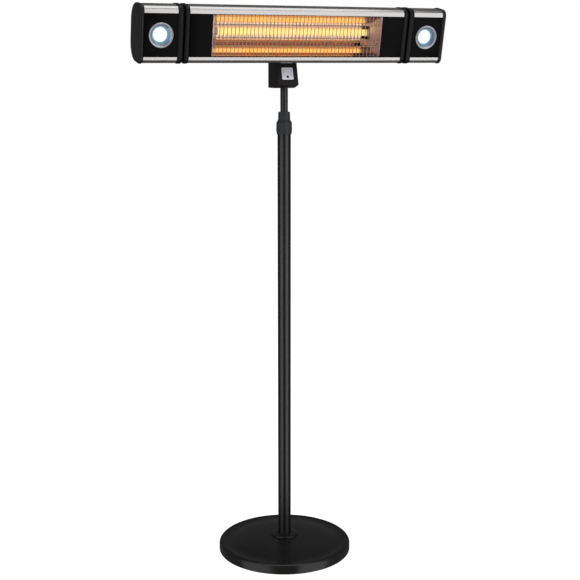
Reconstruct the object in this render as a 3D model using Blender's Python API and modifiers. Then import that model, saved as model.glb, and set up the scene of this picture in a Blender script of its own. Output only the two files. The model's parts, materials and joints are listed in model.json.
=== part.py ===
"""Free-standing electric infrared patio heater: weighted round foot, two-piece telescopic pole,
tilting heater head with a halogen tube behind a wire guard, and a turning lamp module at each end.

Units are metres, +Z is up, -Y is the side that heats, X runs along the head.
The origin is on the floor, on the axis of the pole.
"""

import math

import bmesh
import bpy
from mathutils import Matrix, Vector

GAP = 0.0003                 # space left between neighbouring pieces
CUTTER = 0.010               # length of a cutter past the wall that it cuts

# --- foot -------------------------------------------------------------------------------------
BASE_RADIUS = 0.174
BASE_EDGE_RADIUS = 0.008     # rounding of the rim
BASE_EDGE_BOTTOM = 0.0015
BASE_RIM_TOP = 0.0275
BASE_CENTRE_TOP = 0.0405
BASE_SHEET = 0.0015
PAN_BOTTOM = 0.0028
PAN_THICK = 0.001
PAN_RADIUS = 0.1685
BALLAST_RADIUS = 0.155
BALLAST_THICK = 0.016
FOOT_RADIUS = 0.010
FOOT_CIRCLE = 0.148
FLANGE_RADIUS = 0.036
FLANGE_HEIGHT = 0.0055
ACCESS_RADIUS = 0.016        # hole in the pan under the pole bolt
POCKET_RADIUS = 0.014        # pocket in the ballast for the bolt's head
POCKET_HEIGHT = 0.009

# --- pole -------------------------------------------------------------------------------------
OUTER_TUBE_RADIUS = 0.01685
OUTER_TUBE_WALL = 0.0012
OUTER_TUBE_TOP = 1.1082
INNER_TUBE_RADIUS = 0.0095
INNER_TUBE_WALL = 0.0012
INNER_TUBE_BOTTOM = 0.350
INNER_TUBE_TOP = 1.2715
COLLAR_BOTTOM = 1.1016
COLLAR_GRIP_BOTTOM = 1.1086
COLLAR_GRIP_TOP = 1.1317
COLLAR_NECK_BOTTOM = 1.1371
COLLAR_TOP = 1.1571
COLLAR_GRIP_RADIUS = 0.0198
COLLAR_NECK_RADIUS = 0.0152
FERRULE_FLANGE = 0.002
FERRULE_NECK_RADIUS = 0.0135
FERRULE_NECK_TOP = 1.1302
FERRULE_PLUG_LENGTH = 0.030
COLLAR_THREAD_TOP = 1.1332
COLLAR_CONE_TOP = 1.1547
COLLET_RADIUS = 0.0115
COLLET_BOTTOM = 1.1142
COLLET_SHOULDER = 1.1472
COLLET_TOP = 1.154
COLLET_SLIT = 0.0012
COLLET_SLIT_BOTTOM = 1.1182
POLE_BOLT_RADIUS = 0.006
POLE_BOLT_TOP = 0.058
POLE_BOLT_HEAD_RADIUS = 0.0105
POLE_BOLT_HEAD = 0.0075
GLIDE_HEIGHT = 0.025
GLIDE_FLOOR = 0.005
CUFF_RADIUS = 0.0135
CUFF_HEIGHT = 0.012
CUFF_LIFT = 0.0072           # cuff above the underside of the box

# --- control box ------------------------------------------------------------------------------
BOX_WIDTH = 0.0565
BOX_BOTTOM = 1.2155
BOX_TOP = 1.282
BOX_BACK = 0.038
BOX_FRONT_BOTTOM = -0.0308
BOX_FRONT_TOP = -0.0137
BOX_TOE = -0.004              # the underside rises from here to the front
BOX_TOE_RISE = 0.0075
BOX_SEAM = 0.0176
BOX_WALL = 0.0025
BOX_EDGE = 0.003
PANEL_SIZE = 0.030
PANEL_THICK = 0.0008
PANEL_HEIGHT = 1.251
PANEL_RECESS = 0.0004
BUTTON_RADIUS = 0.003
BUTTON_HALF_LENGTH = 0.0018
BUTTON_DROP = 0.0078         # button below the middle of the panel
INDICATOR_RADIUS = 0.0014
INDICATOR_OFFSET = 0.0098
INDICATOR_RISE = 0.0088      # above the middle of the panel
GLAND_HEIGHT = 1.233
GLAND_RADIUS = 0.008
GLAND_NECK_RADIUS = 0.006
GLAND_BORE_RADIUS = 0.0042
GLAND_LENGTH = 0.010
GLAND_DEPTH = 0.005
STEM_RADIUS = 0.008
STEM_BOTTOM = 1.238
BOARD_STANDOFF = 0.0008      # between the front wall and the circuit board
BOARD_THICK = 0.0016
BOARD_HALF_WIDTH = 0.020
BOARD_LOW = -0.022
BOARD_HIGH = 0.018
TERMINAL_LOW = (-0.014, 0.0145, 1.2225)
TERMINAL_HIGH = (0.014, 0.0245, 1.2345)
TIP_SWITCH_LOW = (0.010, 0.014, 1.244)
TIP_SWITCH_HIGH = (0.021, 0.026, 1.262)

# --- tilt joint -------------------------------------------------------------------------------
PIVOT = Vector((0.0, 0.006, 1.300))
REST_TILT = math.radians(11.0)
PIVOT_BOLT_RADIUS = 0.004
EAR_RADIUS = 0.011
EAR_INNER = 0.0123
EAR_OUTER = 0.0153
YOKE_FLOOR = 0.003
YOKE_FOOT = 0.013            # half depth of the yoke where it stands on the box
PIVOT_HEAD_RADIUS = 0.0075
PIVOT_HEAD_REACH = 0.005     # outer end of the bolt's head, from the ear
PIVOT_TAIL = 0.013           # end of the bolt inside the knob, from the ear
KNOB_RADIUS = 0.016
KNOB_THICK = 0.015
KNOB_LOBES = 5
BRACKET_LUG_RADIUS = 0.010
BRACKET_HALF_HEIGHT = 0.022  # where the bracket meets the head
BRACKET_PAD_HALF_WIDTH = 0.030
BRACKET_PAD_THICK = 0.003

# --- heater head, in its own frame: origin on the middle line of the section, -Y is the front --
HEAD_CENTRE = Vector((0.0, -0.0563, 0.0584))    # from the pivot, before the tilt
HEAD_HALF_DEPTH = 0.0397
HEAD_HALF_HEIGHT = 0.0659
HEAD_FRONT_RADIUS = 0.0140
HEAD_BACK_RADIUS = 0.0407
HEAD_WALL = 0.002
HEAD_LIP = 0.0499            # half height of the opening between the lips
RING_PROUD = 0.0015          # rings and caps stand this far over the metal
RING_START = 0.2751
RING_END = 0.2858
RING_EDGE = 0.002            # rounding of the rings' edges
CAP_EDGE = 0.0035            # rounding of the outer caps' edges
POCKET_INSET = 0.004         # wall left round the hollows of the rings
WINDOW_HALF = 0.2186
PLATE_THICK = 0.002
PLATE_RECESS = 0.0012
SPIGOT_RADIUS = 0.012
SPIGOT_WALL = 0.003
LAMP_Y = 0.0039
LAMP_Z = 0.0033
LAMP_RADIUS = 0.008
LAMP_WALL = 0.001
LAMP_HALF = 0.1945
LAMP_CAP_RADIUS = 0.0095
LAMP_CAP_LENGTH = 0.0175
CLIP_LOW = (-0.010, -0.009)   # corners of a lamp clip, from the axis of the lamp
CLIP_HIGH = (0.0138, 0.0062)
FILAMENT_RADIUS = 0.005
REFLECTOR_SHEET = 0.0008
REFLECTOR_PROFILE = ((-0.0363, 0.0486), (-0.0280, 0.0437), (-0.0180, 0.0368), (-0.0068, 0.0284),
                     (0.0199, 0.0237), (0.0199, -0.0187), (-0.0059, -0.0318), (-0.0140, -0.0370),
                     (-0.0240, -0.0420), (-0.0363, -0.0486))
WIRE = 0.0018                # thickness of a guard wire
WIRE_PITCH = 0.0096
WIRE_SETBACK = 0.0006        # cross wires lie this far behind the upright ones
GUARD_RECESS = 0.0004
GUARD_LEVELS = (0.0262, -0.0135, -0.0233)       # heights of the cross wires
DRIVER_LOW = (0.229, 0.004, -0.026)
DRIVER_HIGH = (0.268, 0.026, 0.026)

# --- lamp modules at the ends of the head ------------------------------------------------------
MODULE_RING_START = 0.2911
MODULE_RING_END = 0.3032
MODULE_CAP_START = 0.3833
MODULE_CAP_END = 0.3933
NECK_INSET = 0.006
CAP_WALL = 0.003
SPOT_X = 0.3425
BEZEL_RADIUS = 0.0289
BEZEL_BODY_RADIUS = 0.0272
BEZEL_DEPTH = 0.013
BEZEL_PROUD = 0.0022
BEZEL_MOUTH = 0.0212         # front of the cone round the lens
BEZEL_MOUTH_DEPTH = 0.0016
LENS_RADIUS = 0.0172
LENS_SHELF = 0.002           # ledge of the bezel behind the lens
LENS_FRONT = 0.0088          # edge of the lens, behind the face of the plate
LENS_CROWN = 0.0013          # middle of the lens, in front of its edge
LENS_BACK = 0.0102
SPOT_BOARD_RADIUS = 0.0147
SPOT_BOARD_BACK = 0.0126

SIDES = (("left", -1.0), ("right", 1.0))
FACE_X = (math.pi / 2, 0.0, math.pi / 2)        # turns an outline in XY to the YZ plane
TO_X = (0.0, math.pi / 2, 0.0)                  # turns the Z axis to X
TO_Y = (math.pi / 2, 0.0, 0.0)                  # turns the Z axis to -Y


# --- scene and materials ----------------------------------------------------------------------
for old in list(bpy.data.objects):
    bpy.data.objects.remove(old)

parts = bpy.data.collections.new("outdoor_heater")
cutters = bpy.data.collections.new("cutters")
for made in (parts, cutters):
    bpy.context.scene.collection.children.link(made)


def material(name, colour, roughness, metallic=0.0, alpha=1.0, glow=0.0):
    made = bpy.data.materials.new(name)
    made.use_nodes = True
    shader = made.node_tree.nodes["Principled BSDF"]
    shader.inputs["Base Color"].default_value = (*colour, 1.0)
    shader.inputs["Roughness"].default_value = roughness
    shader.inputs["Metallic"].default_value = metallic
    shader.inputs["Alpha"].default_value = alpha
    shader.inputs["Emission Color"].default_value = (*colour, 1.0)
    shader.inputs["Emission Strength"].default_value = glow
    return made


BLACK_PAINT = material("black_paint", (0.020, 0.020, 0.021), 0.34)
CAST_IRON = material("cast_iron", (0.09, 0.088, 0.085), 0.7, 0.8)
PAN_STEEL = material("pan_steel", (0.30, 0.30, 0.31), 0.45, 1.0)
FASTENER_STEEL = material("fastener_steel", (0.52, 0.52, 0.53), 0.35, 1.0)
RUBBER = material("rubber", (0.025, 0.025, 0.025), 0.85)
COLLAR_PLASTIC = material("collar_plastic", (0.040, 0.047, 0.053), 0.48)
GUIDE_PLASTIC = material("guide_plastic", (0.16, 0.16, 0.17), 0.5)
BOX_PLASTIC = material("box_plastic", (0.022, 0.020, 0.021), 0.46)
PANEL_FILM = material("panel_film", (0.66, 0.67, 0.70), 0.38, 0.2)
INDICATOR_BLUE = material("indicator_blue", (0.16, 0.30, 0.80), 0.25)
BOARD_GREEN = material("board_green", (0.03, 0.16, 0.07), 0.5)
TERMINAL_WHITE = material("terminal_white", (0.75, 0.74, 0.70), 0.5)
ALUMINIUM = material("aluminium", (0.66, 0.66, 0.67), 0.30, 1.0)
END_PLASTIC = material("end_plastic", (0.026, 0.026, 0.027), 0.42)
PLATE_BLACK = material("plate_black", (0.008, 0.008, 0.009), 0.30)
REFLECTOR = material("reflector", (0.82, 0.70, 0.66), 0.14, 1.0)
QUARTZ = material("quartz", (1.0, 0.72, 0.35), 0.05, 0.0, 0.35)
FILAMENT = material("filament", (1.0, 0.62, 0.16), 0.5, 0.0, 1.0, 4.0)
CERAMIC = material("ceramic", (0.80, 0.77, 0.70), 0.6)
WIRE_STEEL = material("wire_steel", (0.62, 0.56, 0.52), 0.28, 1.0)
BEZEL_GREY = material("bezel_grey", (0.36, 0.37, 0.39), 0.35, 0.6)
SPOT_LENS = material("spot_lens", (0.92, 0.96, 1.0), 0.1, 0.0, 0.5)
SPOT_BOARD = material("spot_board", (0.95, 0.97, 1.0), 0.4, 0.0, 1.0, 5.0)


# --- modelling helpers ------------------------------------------------------------------------
def empty(name, location, rotation=(0.0, 0.0, 0.0), parent=None):
    """Parent frame for the pieces that share a joint or a tilted face."""
    made = bpy.data.objects.new(name, None)
    made.location = location
    made.rotation_euler = rotation
    made.parent = parent
    parts.objects.link(made)
    return made


def piece(name, mesh, finish=None, parent=None, location=(0, 0, 0), rotation=(0, 0, 0)):
    """Named object on a mesh. Without a finish it is a cutter."""
    made = bpy.data.objects.new(name, mesh)
    made.location = location
    made.rotation_euler = rotation
    made.parent = parent
    if finish is None:
        cutters.objects.link(made)
        made.hide_render = True
        made.display_type = "WIRE"
    else:
        mesh.materials.append(finish)
        mesh.shade_smooth()
        mesh.set_sharp_from_angle(angle=math.radians(35))
        parts.objects.link(made)
    return made


def combine(target, other, operation):
    change = target.modifiers.new(f"{operation}_{other.name}".lower(), "BOOLEAN")
    change.operation = operation
    change.solver = "EXACT"
    change.object = other


def round_edges(target, width, segments=2):
    bevel = target.modifiers.new("round_edges", "BEVEL")
    bevel.width = width
    bevel.segments = segments
    bevel.limit_method = "ANGLE"
    bevel.angle_limit = math.radians(50)


def box(name, low, high, finish=None, parent=None):
    """Block between two corners."""
    low, high = Vector(low), Vector(high)
    work = bmesh.new()
    bmesh.ops.create_cube(work, size=1.0)
    bmesh.ops.scale(work, vec=high - low, verts=work.verts)
    bmesh.ops.translate(work, vec=(low + high) / 2, verts=work.verts)
    mesh = bpy.data.meshes.new(name)
    work.to_mesh(mesh)
    work.free()
    return piece(name, mesh, finish, parent)


def rod(name, radius, start, end, finish=None, parent=None, location=(0, 0, 0),
        rotation=(0, 0, 0), sides=24, end_radius=None):
    """Round bar along local Z, tapered when end_radius is given."""
    work = bmesh.new()
    bmesh.ops.create_cone(work, cap_ends=True, segments=sides, radius1=radius,
                          radius2=radius if end_radius is None else end_radius, depth=end - start)
    bmesh.ops.translate(work, vec=(0, 0, (start + end) / 2), verts=work.verts)
    mesh = bpy.data.meshes.new(name)
    work.to_mesh(mesh)
    work.free()
    return piece(name, mesh, finish, parent, location, rotation)


def turned(name, profile, finish=None, parent=None, location=(0, 0, 0), rotation=(0, 0, 0),
           steps=32, ring=True):
    """Turned solid. The (radius, height) profile runs down the outer side; a ring profile closes
    on itself, and any other starts and ends on the axis or is an open sheet."""
    count = len(profile)
    edges = [(i, i + 1) for i in range(count - 1)]
    if ring:
        edges.append((count - 1, 0))
    mesh = bpy.data.meshes.new(name)
    mesh.from_pydata([(r, 0.0, z) for r, z in profile], edges, [])
    made = piece(name, mesh, finish, parent, location, rotation)
    screw = made.modifiers.new("turn", "SCREW")
    screw.axis = "Z"
    screw.steps = steps
    screw.render_steps = steps
    screw.use_merge_vertices = True
    screw.merge_threshold = 0.00002
    screw.use_smooth_shade = True
    return made


def slab(name, outlines, start, end, finish=None, parent=None, location=(0, 0, 0)):
    """Flat solid with its outline in the YZ plane, from X = start to X = end. Outlines after the
    first are holes."""
    curve = bpy.data.curves.new(name, "CURVE")
    curve.dimensions = "2D"
    curve.fill_mode = "BOTH"
    curve.extrude = (end - start) / 2
    for outline in outlines:
        spline = curve.splines.new("POLY")
        spline.points.add(len(outline) - 1)
        for point, (y, z) in zip(spline.points, outline):
            point.co = (y, z, 0.0, 1.0)
        spline.use_cyclic_u = True
    drawn = bpy.data.objects.new(name + "_outline", curve)
    drawn.rotation_euler = FACE_X
    drawn.location = ((start + end) / 2, 0.0, 0.0)
    parts.objects.link(drawn)
    bpy.context.view_layer.update()
    found = drawn.evaluated_get(bpy.context.evaluated_depsgraph_get())
    mesh = bpy.data.meshes.new_from_object(found)
    mesh.name = name
    mesh.transform(drawn.matrix_world)
    bpy.data.objects.remove(drawn)
    work = bmesh.new()
    work.from_mesh(mesh)
    bmesh.ops.remove_doubles(work, verts=work.verts, dist=0.00001)
    bmesh.ops.recalc_face_normals(work, faces=work.faces)
    work.to_mesh(mesh)
    work.free()
    mesh.materials.clear()
    return piece(name, mesh, finish, parent, location)


def arc(centre_y, centre_z, radius, start_deg, end_deg, steps):
    """Points on a round stretch of an outline in the YZ plane."""
    points = []
    for i in range(steps + 1):
        angle = math.radians(start_deg + (end_deg - start_deg) * i / steps)
        points.append((centre_y + radius * math.cos(angle), centre_z + radius * math.sin(angle)))
    return points


def circle(centre_y, centre_z, radius, steps=20):
    return arc(centre_y, centre_z, radius, 0.0, 360.0 * (steps - 1) / steps, steps - 1)


def rounded_outline(corners, steps=4):
    """Polygon of (y, z, radius) corners, given anticlockwise, with each corner rounded."""
    points = []
    for i, (y, z, radius) in enumerate(corners):
        here = Vector((y, z))
        before = (Vector(corners[i - 1][:2]) - here).normalized()
        after = (Vector(corners[(i + 1) % len(corners)][:2]) - here).normalized()
        if radius <= 0.0:
            points.append((y, z))
            continue
        half = before.angle(after) / 2
        middle = here + (before + after).normalized() * (radius / math.sin(half))
        first = here + before * (radius / math.tan(half)) - middle
        turn = math.pi - 2 * half
        for step in range(steps + 1):
            swung = Matrix.Rotation(turn * step / steps, 2) @ first
            points.append(tuple(middle + swung))
    return points


def head_section(inset=0.0):
    """Full outline of the head: flat front with small corners, back with large ones."""
    depth = HEAD_HALF_DEPTH - inset
    height = HEAD_HALF_HEIGHT - inset
    front = HEAD_FRONT_RADIUS - inset
    back = HEAD_BACK_RADIUS - inset
    points = arc(-depth + front, -height + front, front, 180, 270, 3)
    points += arc(depth - back, -height + back, back, 270, 360, 5)
    points += arc(depth - back, height - back, back, 0, 90, 5)
    points += arc(-depth + front, height - front, front, 90, 180, 3)
    return points


def head_channel():
    """Outline of the extruded profile: the section's wall, open at the front between the lips."""
    outer = head_section()
    inner = head_section(HEAD_WALL)
    front = -HEAD_HALF_DEPTH
    lip_low = [(front + HEAD_WALL, -HEAD_LIP), (front, -HEAD_LIP)]
    lip_high = [(front, HEAD_LIP), (front + HEAD_WALL, HEAD_LIP)]
    inner.reverse()
    return outer + lip_high + inner + lip_low


def side_span(side, near, far):
    """Lowest and highest X of a piece between two distances from the middle of the head."""
    return (near, far) if side > 0 else (-far, -near)


# --- foot and pole ----------------------------------------------------------------------------
def make_foot():
    tube_hole = OUTER_TUBE_RADIUS + 0.0005
    rim = BASE_RADIUS - BASE_EDGE_RADIUS
    profile = [
        (tube_hole, BASE_CENTRE_TOP),
        (0.060, BASE_CENTRE_TOP - 0.0012),
        (0.108, BASE_CENTRE_TOP - 0.0065),
        (0.146, BASE_RIM_TOP - 0.0006),
        (0.158, BASE_RIM_TOP - 0.0004),
    ]
    profile += arc(rim, BASE_RIM_TOP - BASE_EDGE_RADIUS, BASE_EDGE_RADIUS, 90, 0, 3)
    profile += [(BASE_RADIUS, 0.010), (BASE_RADIUS - 0.0015, BASE_EDGE_BOTTOM)]
    cover = turned("base_cover", profile, BLACK_PAINT, steps=44, ring=False)
    sheet = cover.modifiers.new("sheet", "SOLIDIFY")
    sheet.thickness = BASE_SHEET
    sheet.offset = -1.0

    pan_top = PAN_BOTTOM + PAN_THICK
    turned("base_pan", [(PAN_RADIUS, pan_top), (PAN_RADIUS, PAN_BOTTOM),
                        (ACCESS_RADIUS, PAN_BOTTOM), (ACCESS_RADIUS, pan_top)],
           PAN_STEEL, steps=36)

    low = pan_top + GAP
    high = low + BALLAST_THICK
    pocket_top = low + POCKET_HEIGHT
    bore = POLE_BOLT_RADIUS + 0.0005
    turned("ballast_plate", [(BALLAST_RADIUS, high), (BALLAST_RADIUS, low), (POCKET_RADIUS, low),
                             (POCKET_RADIUS, pocket_top), (bore, pocket_top), (bore, high)],
           CAST_IRON, steps=32)

    bolt_head = rod("pole_bolt", POLE_BOLT_HEAD_RADIUS, pocket_top - GAP - POLE_BOLT_HEAD,
                    pocket_top - GAP, FASTENER_STEEL, sides=6)
    shank = rod("pole_bolt_shank", POLE_BOLT_RADIUS, pocket_top - 0.002, POLE_BOLT_TOP, sides=16)
    combine(bolt_head, shank, "UNION")

    insert_low = high + GAP
    insert_radius = OUTER_TUBE_RADIUS - OUTER_TUBE_WALL - GAP
    insert_bore = POLE_BOLT_RADIUS + GAP
    turned("pole_insert", [(insert_radius, POLE_BOLT_TOP), (insert_radius, insert_low),
                           (insert_bore, insert_low), (insert_bore, POLE_BOLT_TOP)],
           FASTENER_STEEL, steps=24)

    tube_inner = OUTER_TUBE_RADIUS - OUTER_TUBE_WALL
    turned("outer_tube", [(OUTER_TUBE_RADIUS, OUTER_TUBE_TOP), (OUTER_TUBE_RADIUS, insert_low),
                          (tube_inner, insert_low), (tube_inner, OUTER_TUBE_TOP)],
           BLACK_PAINT, steps=32)

    flange_low = BASE_CENTRE_TOP + GAP
    flange_top = flange_low + FLANGE_HEIGHT
    turned("pole_flange", [(tube_hole, flange_top), (0.024, flange_top),
                           (0.031, flange_top - 0.0012), (0.0345, flange_top - 0.0032),
                           (FLANGE_RADIUS, flange_low), (tube_hole, flange_low)],
           BLACK_PAINT, steps=28)

    for number in range(4):
        angle = math.radians(45 + 90 * number)
        spot = (FOOT_CIRCLE * math.cos(angle), FOOT_CIRCLE * math.sin(angle), 0.0)
        rod(f"rubber_foot_{number + 1}", FOOT_RADIUS - 0.0008, 0.0, PAN_BOTTOM - GAP, RUBBER,
            location=spot, sides=20, end_radius=FOOT_RADIUS)


def make_clamp():
    """Threaded ferrule on the outer tube, twist collar over it and the split collet inside."""
    flange_low = OUTER_TUBE_TOP + GAP
    flange_high = flange_low + FERRULE_FLANGE
    plug = OUTER_TUBE_RADIUS - OUTER_TUBE_WALL - GAP
    plug_low = OUTER_TUBE_TOP - FERRULE_PLUG_LENGTH
    bore = COLLET_RADIUS + GAP
    turned("tube_ferrule", [(FERRULE_NECK_RADIUS, FERRULE_NECK_TOP),
                            (FERRULE_NECK_RADIUS, flange_high),
                            (OUTER_TUBE_RADIUS, flange_high), (OUTER_TUBE_RADIUS, flange_low),
                            (plug, flange_low), (plug, plug_low),
                            (bore, plug_low), (bore, FERRULE_NECK_TOP)],
           GUIDE_PLASTIC, steps=24)

    tube_bore = OUTER_TUBE_RADIUS + GAP
    thread_bore = FERRULE_NECK_RADIUS + GAP
    cone_bore = COLLET_RADIUS + 0.0005
    mast_bore = INNER_TUBE_RADIUS + GAP
    collar_axis = empty("collar_axis", (0, 0, 0))
    turned("clamp_collar", [(COLLAR_NECK_RADIUS - 0.0007, COLLAR_TOP),
                            (COLLAR_NECK_RADIUS, COLLAR_NECK_BOTTOM),
                            (COLLAR_GRIP_RADIUS - 0.0006, COLLAR_GRIP_TOP),
                            (COLLAR_GRIP_RADIUS, COLLAR_GRIP_BOTTOM),
                            (COLLAR_GRIP_RADIUS - 0.0011, COLLAR_BOTTOM),
                            (tube_bore, COLLAR_BOTTOM), (tube_bore, flange_high + GAP),
                            (thread_bore, flange_high + GAP), (thread_bore, COLLAR_THREAD_TOP),
                            (cone_bore, COLLAR_THREAD_TOP), (cone_bore, COLLAR_CONE_TOP),
                            (mast_bore, COLLAR_CONE_TOP), (mast_bore, COLLAR_TOP)],
           COLLAR_PLASTIC, collar_axis, steps=24)

    collet = turned("split_collet", [(COLLET_RADIUS - 0.0004, COLLET_TOP),
                                     (COLLET_RADIUS, COLLET_SHOULDER),
                                     (COLLET_RADIUS, COLLET_BOTTOM), (mast_bore, COLLET_BOTTOM),
                                     (mast_bore, COLLET_TOP)], GUIDE_PLASTIC, steps=24)
    slit = box("collet_slit", (0.0, -COLLET_SLIT / 2, COLLET_SLIT_BOTTOM),
               (COLLAR_GRIP_RADIUS, COLLET_SLIT / 2, COLLAR_TOP))
    combine(collet, slit, "DIFFERENCE")


def make_mast():
    """Inner tube with the plastic glide at its lower end and the cuff at the box."""
    inner = INNER_TUBE_RADIUS - INNER_TUBE_WALL
    turned("inner_tube", [(INNER_TUBE_RADIUS, INNER_TUBE_TOP),
                          (INNER_TUBE_RADIUS, INNER_TUBE_BOTTOM),
                          (inner, INNER_TUBE_BOTTOM), (inner, INNER_TUBE_TOP)],
           BLACK_PAINT, steps=28)

    glide = OUTER_TUBE_RADIUS - OUTER_TUBE_WALL - 0.0004
    socket = INNER_TUBE_RADIUS + GAP
    floor = INNER_TUBE_BOTTOM - GAP
    glide_low = floor - GLIDE_FLOOR
    glide_high = floor + GLIDE_HEIGHT
    turned("mast_glide", [(0.0, floor), (socket, floor), (socket, glide_high),
                          (glide, glide_high), (glide, glide_low), (0.0, glide_low)],
           GUIDE_PLASTIC, steps=24, ring=False)

    cuff_low = BOX_BOTTOM + CUFF_LIFT
    cuff_high = cuff_low + CUFF_HEIGHT
    turned("mast_cuff", [(CUFF_RADIUS, cuff_high), (CUFF_RADIUS, cuff_low), (socket, cuff_low),
                         (socket, cuff_high)], BOX_PLASTIC, steps=28)


# --- control box ------------------------------------------------------------------------------
def box_outline(inset):
    """Side outline of the control box: upright back, leaning front, underside rising in front."""
    bottom = BOX_BOTTOM + inset
    top = BOX_TOP - inset
    back = BOX_BACK - inset
    lean = (BOX_FRONT_TOP - BOX_FRONT_BOTTOM) / (BOX_TOP - BOX_BOTTOM)
    toe = BOX_FRONT_BOTTOM + lean * BOX_TOE_RISE + inset
    return rounded_outline([
        (back, bottom, 0.003 - inset),
        (back, top, 0.005 - inset),
        (BOX_FRONT_TOP + inset, top, 0.006 - inset),
        (toe, bottom + BOX_TOE_RISE, 0.003 - inset),
        (BOX_TOE, bottom, 0.012 - inset),
    ])


def make_box():
    half = BOX_WIDTH / 2
    lean = math.atan2(BOX_FRONT_TOP - BOX_FRONT_BOTTOM, BOX_TOP - BOX_BOTTOM)
    share = (PANEL_HEIGHT - BOX_BOTTOM) / (BOX_TOP - BOX_BOTTOM)
    panel_y = BOX_FRONT_BOTTOM + (BOX_FRONT_TOP - BOX_FRONT_BOTTOM) * share
    face = empty("panel_face", (0.0, panel_y, PANEL_HEIGHT), (-lean, 0.0, 0.0))

    cavity = slab("box_cavity", [box_outline(BOX_WALL)], -half + BOX_WALL, half - BOX_WALL)
    shells = {}
    for name, low, high in (("box_front", BOX_SEAM, 0.1), ("box_rear", -0.1, BOX_SEAM + GAP)):
        shell = slab(name, [box_outline(0.0)], -half, half, BOX_PLASTIC)
        round_edges(shell, BOX_EDGE, 3)
        away = box(name + "_trim", (-0.1, low, 1.1), (0.1, high, 1.4))
        combine(shell, away, "DIFFERENCE")
        combine(shell, cavity, "DIFFERENCE")
        shells[name] = shell

    tube_hole = rod("box_tube_hole", INNER_TUBE_RADIUS + GAP, BOX_BOTTOM - CUTTER,
                    BOX_BOTTOM + CUTTER)
    stem_hole = rod("stem_hole", STEM_RADIUS + 0.0008, BOX_TOP - CUTTER / 2, BOX_TOP + CUTTER)
    combine(shells["box_front"], tube_hole, "DIFFERENCE")
    combine(shells["box_front"], stem_hole, "DIFFERENCE")

    seat = PANEL_SIZE / 2 + GAP
    seat_cut = box("panel_seat", (-seat, -CUTTER, -seat), (seat, PANEL_RECESS, seat), parent=face)
    button_hole = rod("button_hole", BUTTON_RADIUS + 0.0004, -CUTTER / 2, CUTTER / 2, parent=face,
                      location=(0, 0, -BUTTON_DROP), rotation=TO_Y)
    combine(shells["box_front"], seat_cut, "DIFFERENCE")
    combine(shells["box_front"], button_hole, "DIFFERENCE")

    back_of_panel = PANEL_RECESS - GAP
    panel = box("control_panel", (-PANEL_SIZE / 2, back_of_panel - PANEL_THICK, -PANEL_SIZE / 2),
                (PANEL_SIZE / 2, back_of_panel, PANEL_SIZE / 2), PANEL_FILM, face)
    combine(panel, button_hole, "DIFFERENCE")
    for name, side in SIDES:
        spot = (side * INDICATOR_OFFSET, 0.0, INDICATOR_RISE)
        hole = rod(f"indicator_hole_{name}", INDICATOR_RADIUS + GAP, -CUTTER / 2, CUTTER / 2,
                   parent=face, location=spot, rotation=TO_Y, sides=16)
        combine(panel, hole, "DIFFERENCE")
        rod(f"indicator_{name}", INDICATOR_RADIUS, -back_of_panel, PANEL_THICK + 0.0002,
            INDICATOR_BLUE, face, spot, TO_Y, sides=16)

    button_axis = empty("button_axis", (0.0, 0.0, -BUTTON_DROP), parent=face)
    rod("power_button", BUTTON_RADIUS, -BUTTON_HALF_LENGTH, BUTTON_HALF_LENGTH, END_PLASTIC,
        button_axis, rotation=TO_Y, sides=20)

    board_front = BOX_WALL + BOARD_STANDOFF
    box("control_board", (-BOARD_HALF_WIDTH, board_front, BOARD_LOW),
        (BOARD_HALF_WIDTH, board_front + BOARD_THICK, BOARD_HIGH), BOARD_GREEN, face)
    box("terminal_block", TERMINAL_LOW, TERMINAL_HIGH, TERMINAL_WHITE)
    box("tip_switch", TIP_SWITCH_LOW, TIP_SWITCH_HIGH, BOX_PLASTIC)

    gland_place = (0, BOX_BACK, GLAND_HEIGHT)
    gland_hole = rod("gland_hole", GLAND_NECK_RADIUS + GAP, -CUTTER, CUTTER, location=gland_place,
                     rotation=TO_Y)
    combine(shells["box_rear"], gland_hole, "DIFFERENCE")
    turned("cable_gland", [(GLAND_BORE_RADIUS, GLAND_LENGTH),
                           (GLAND_NECK_RADIUS + 0.0002, GLAND_LENGTH),
                           (GLAND_RADIUS, GLAND_LENGTH * 0.6), (GLAND_RADIUS, GAP),
                           (GLAND_NECK_RADIUS, GAP), (GLAND_NECK_RADIUS, -GLAND_DEPTH),
                           (GLAND_BORE_RADIUS, -GLAND_DEPTH)], END_PLASTIC,
           location=gland_place, rotation=(-math.pi / 2, 0, 0), steps=20)


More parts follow.
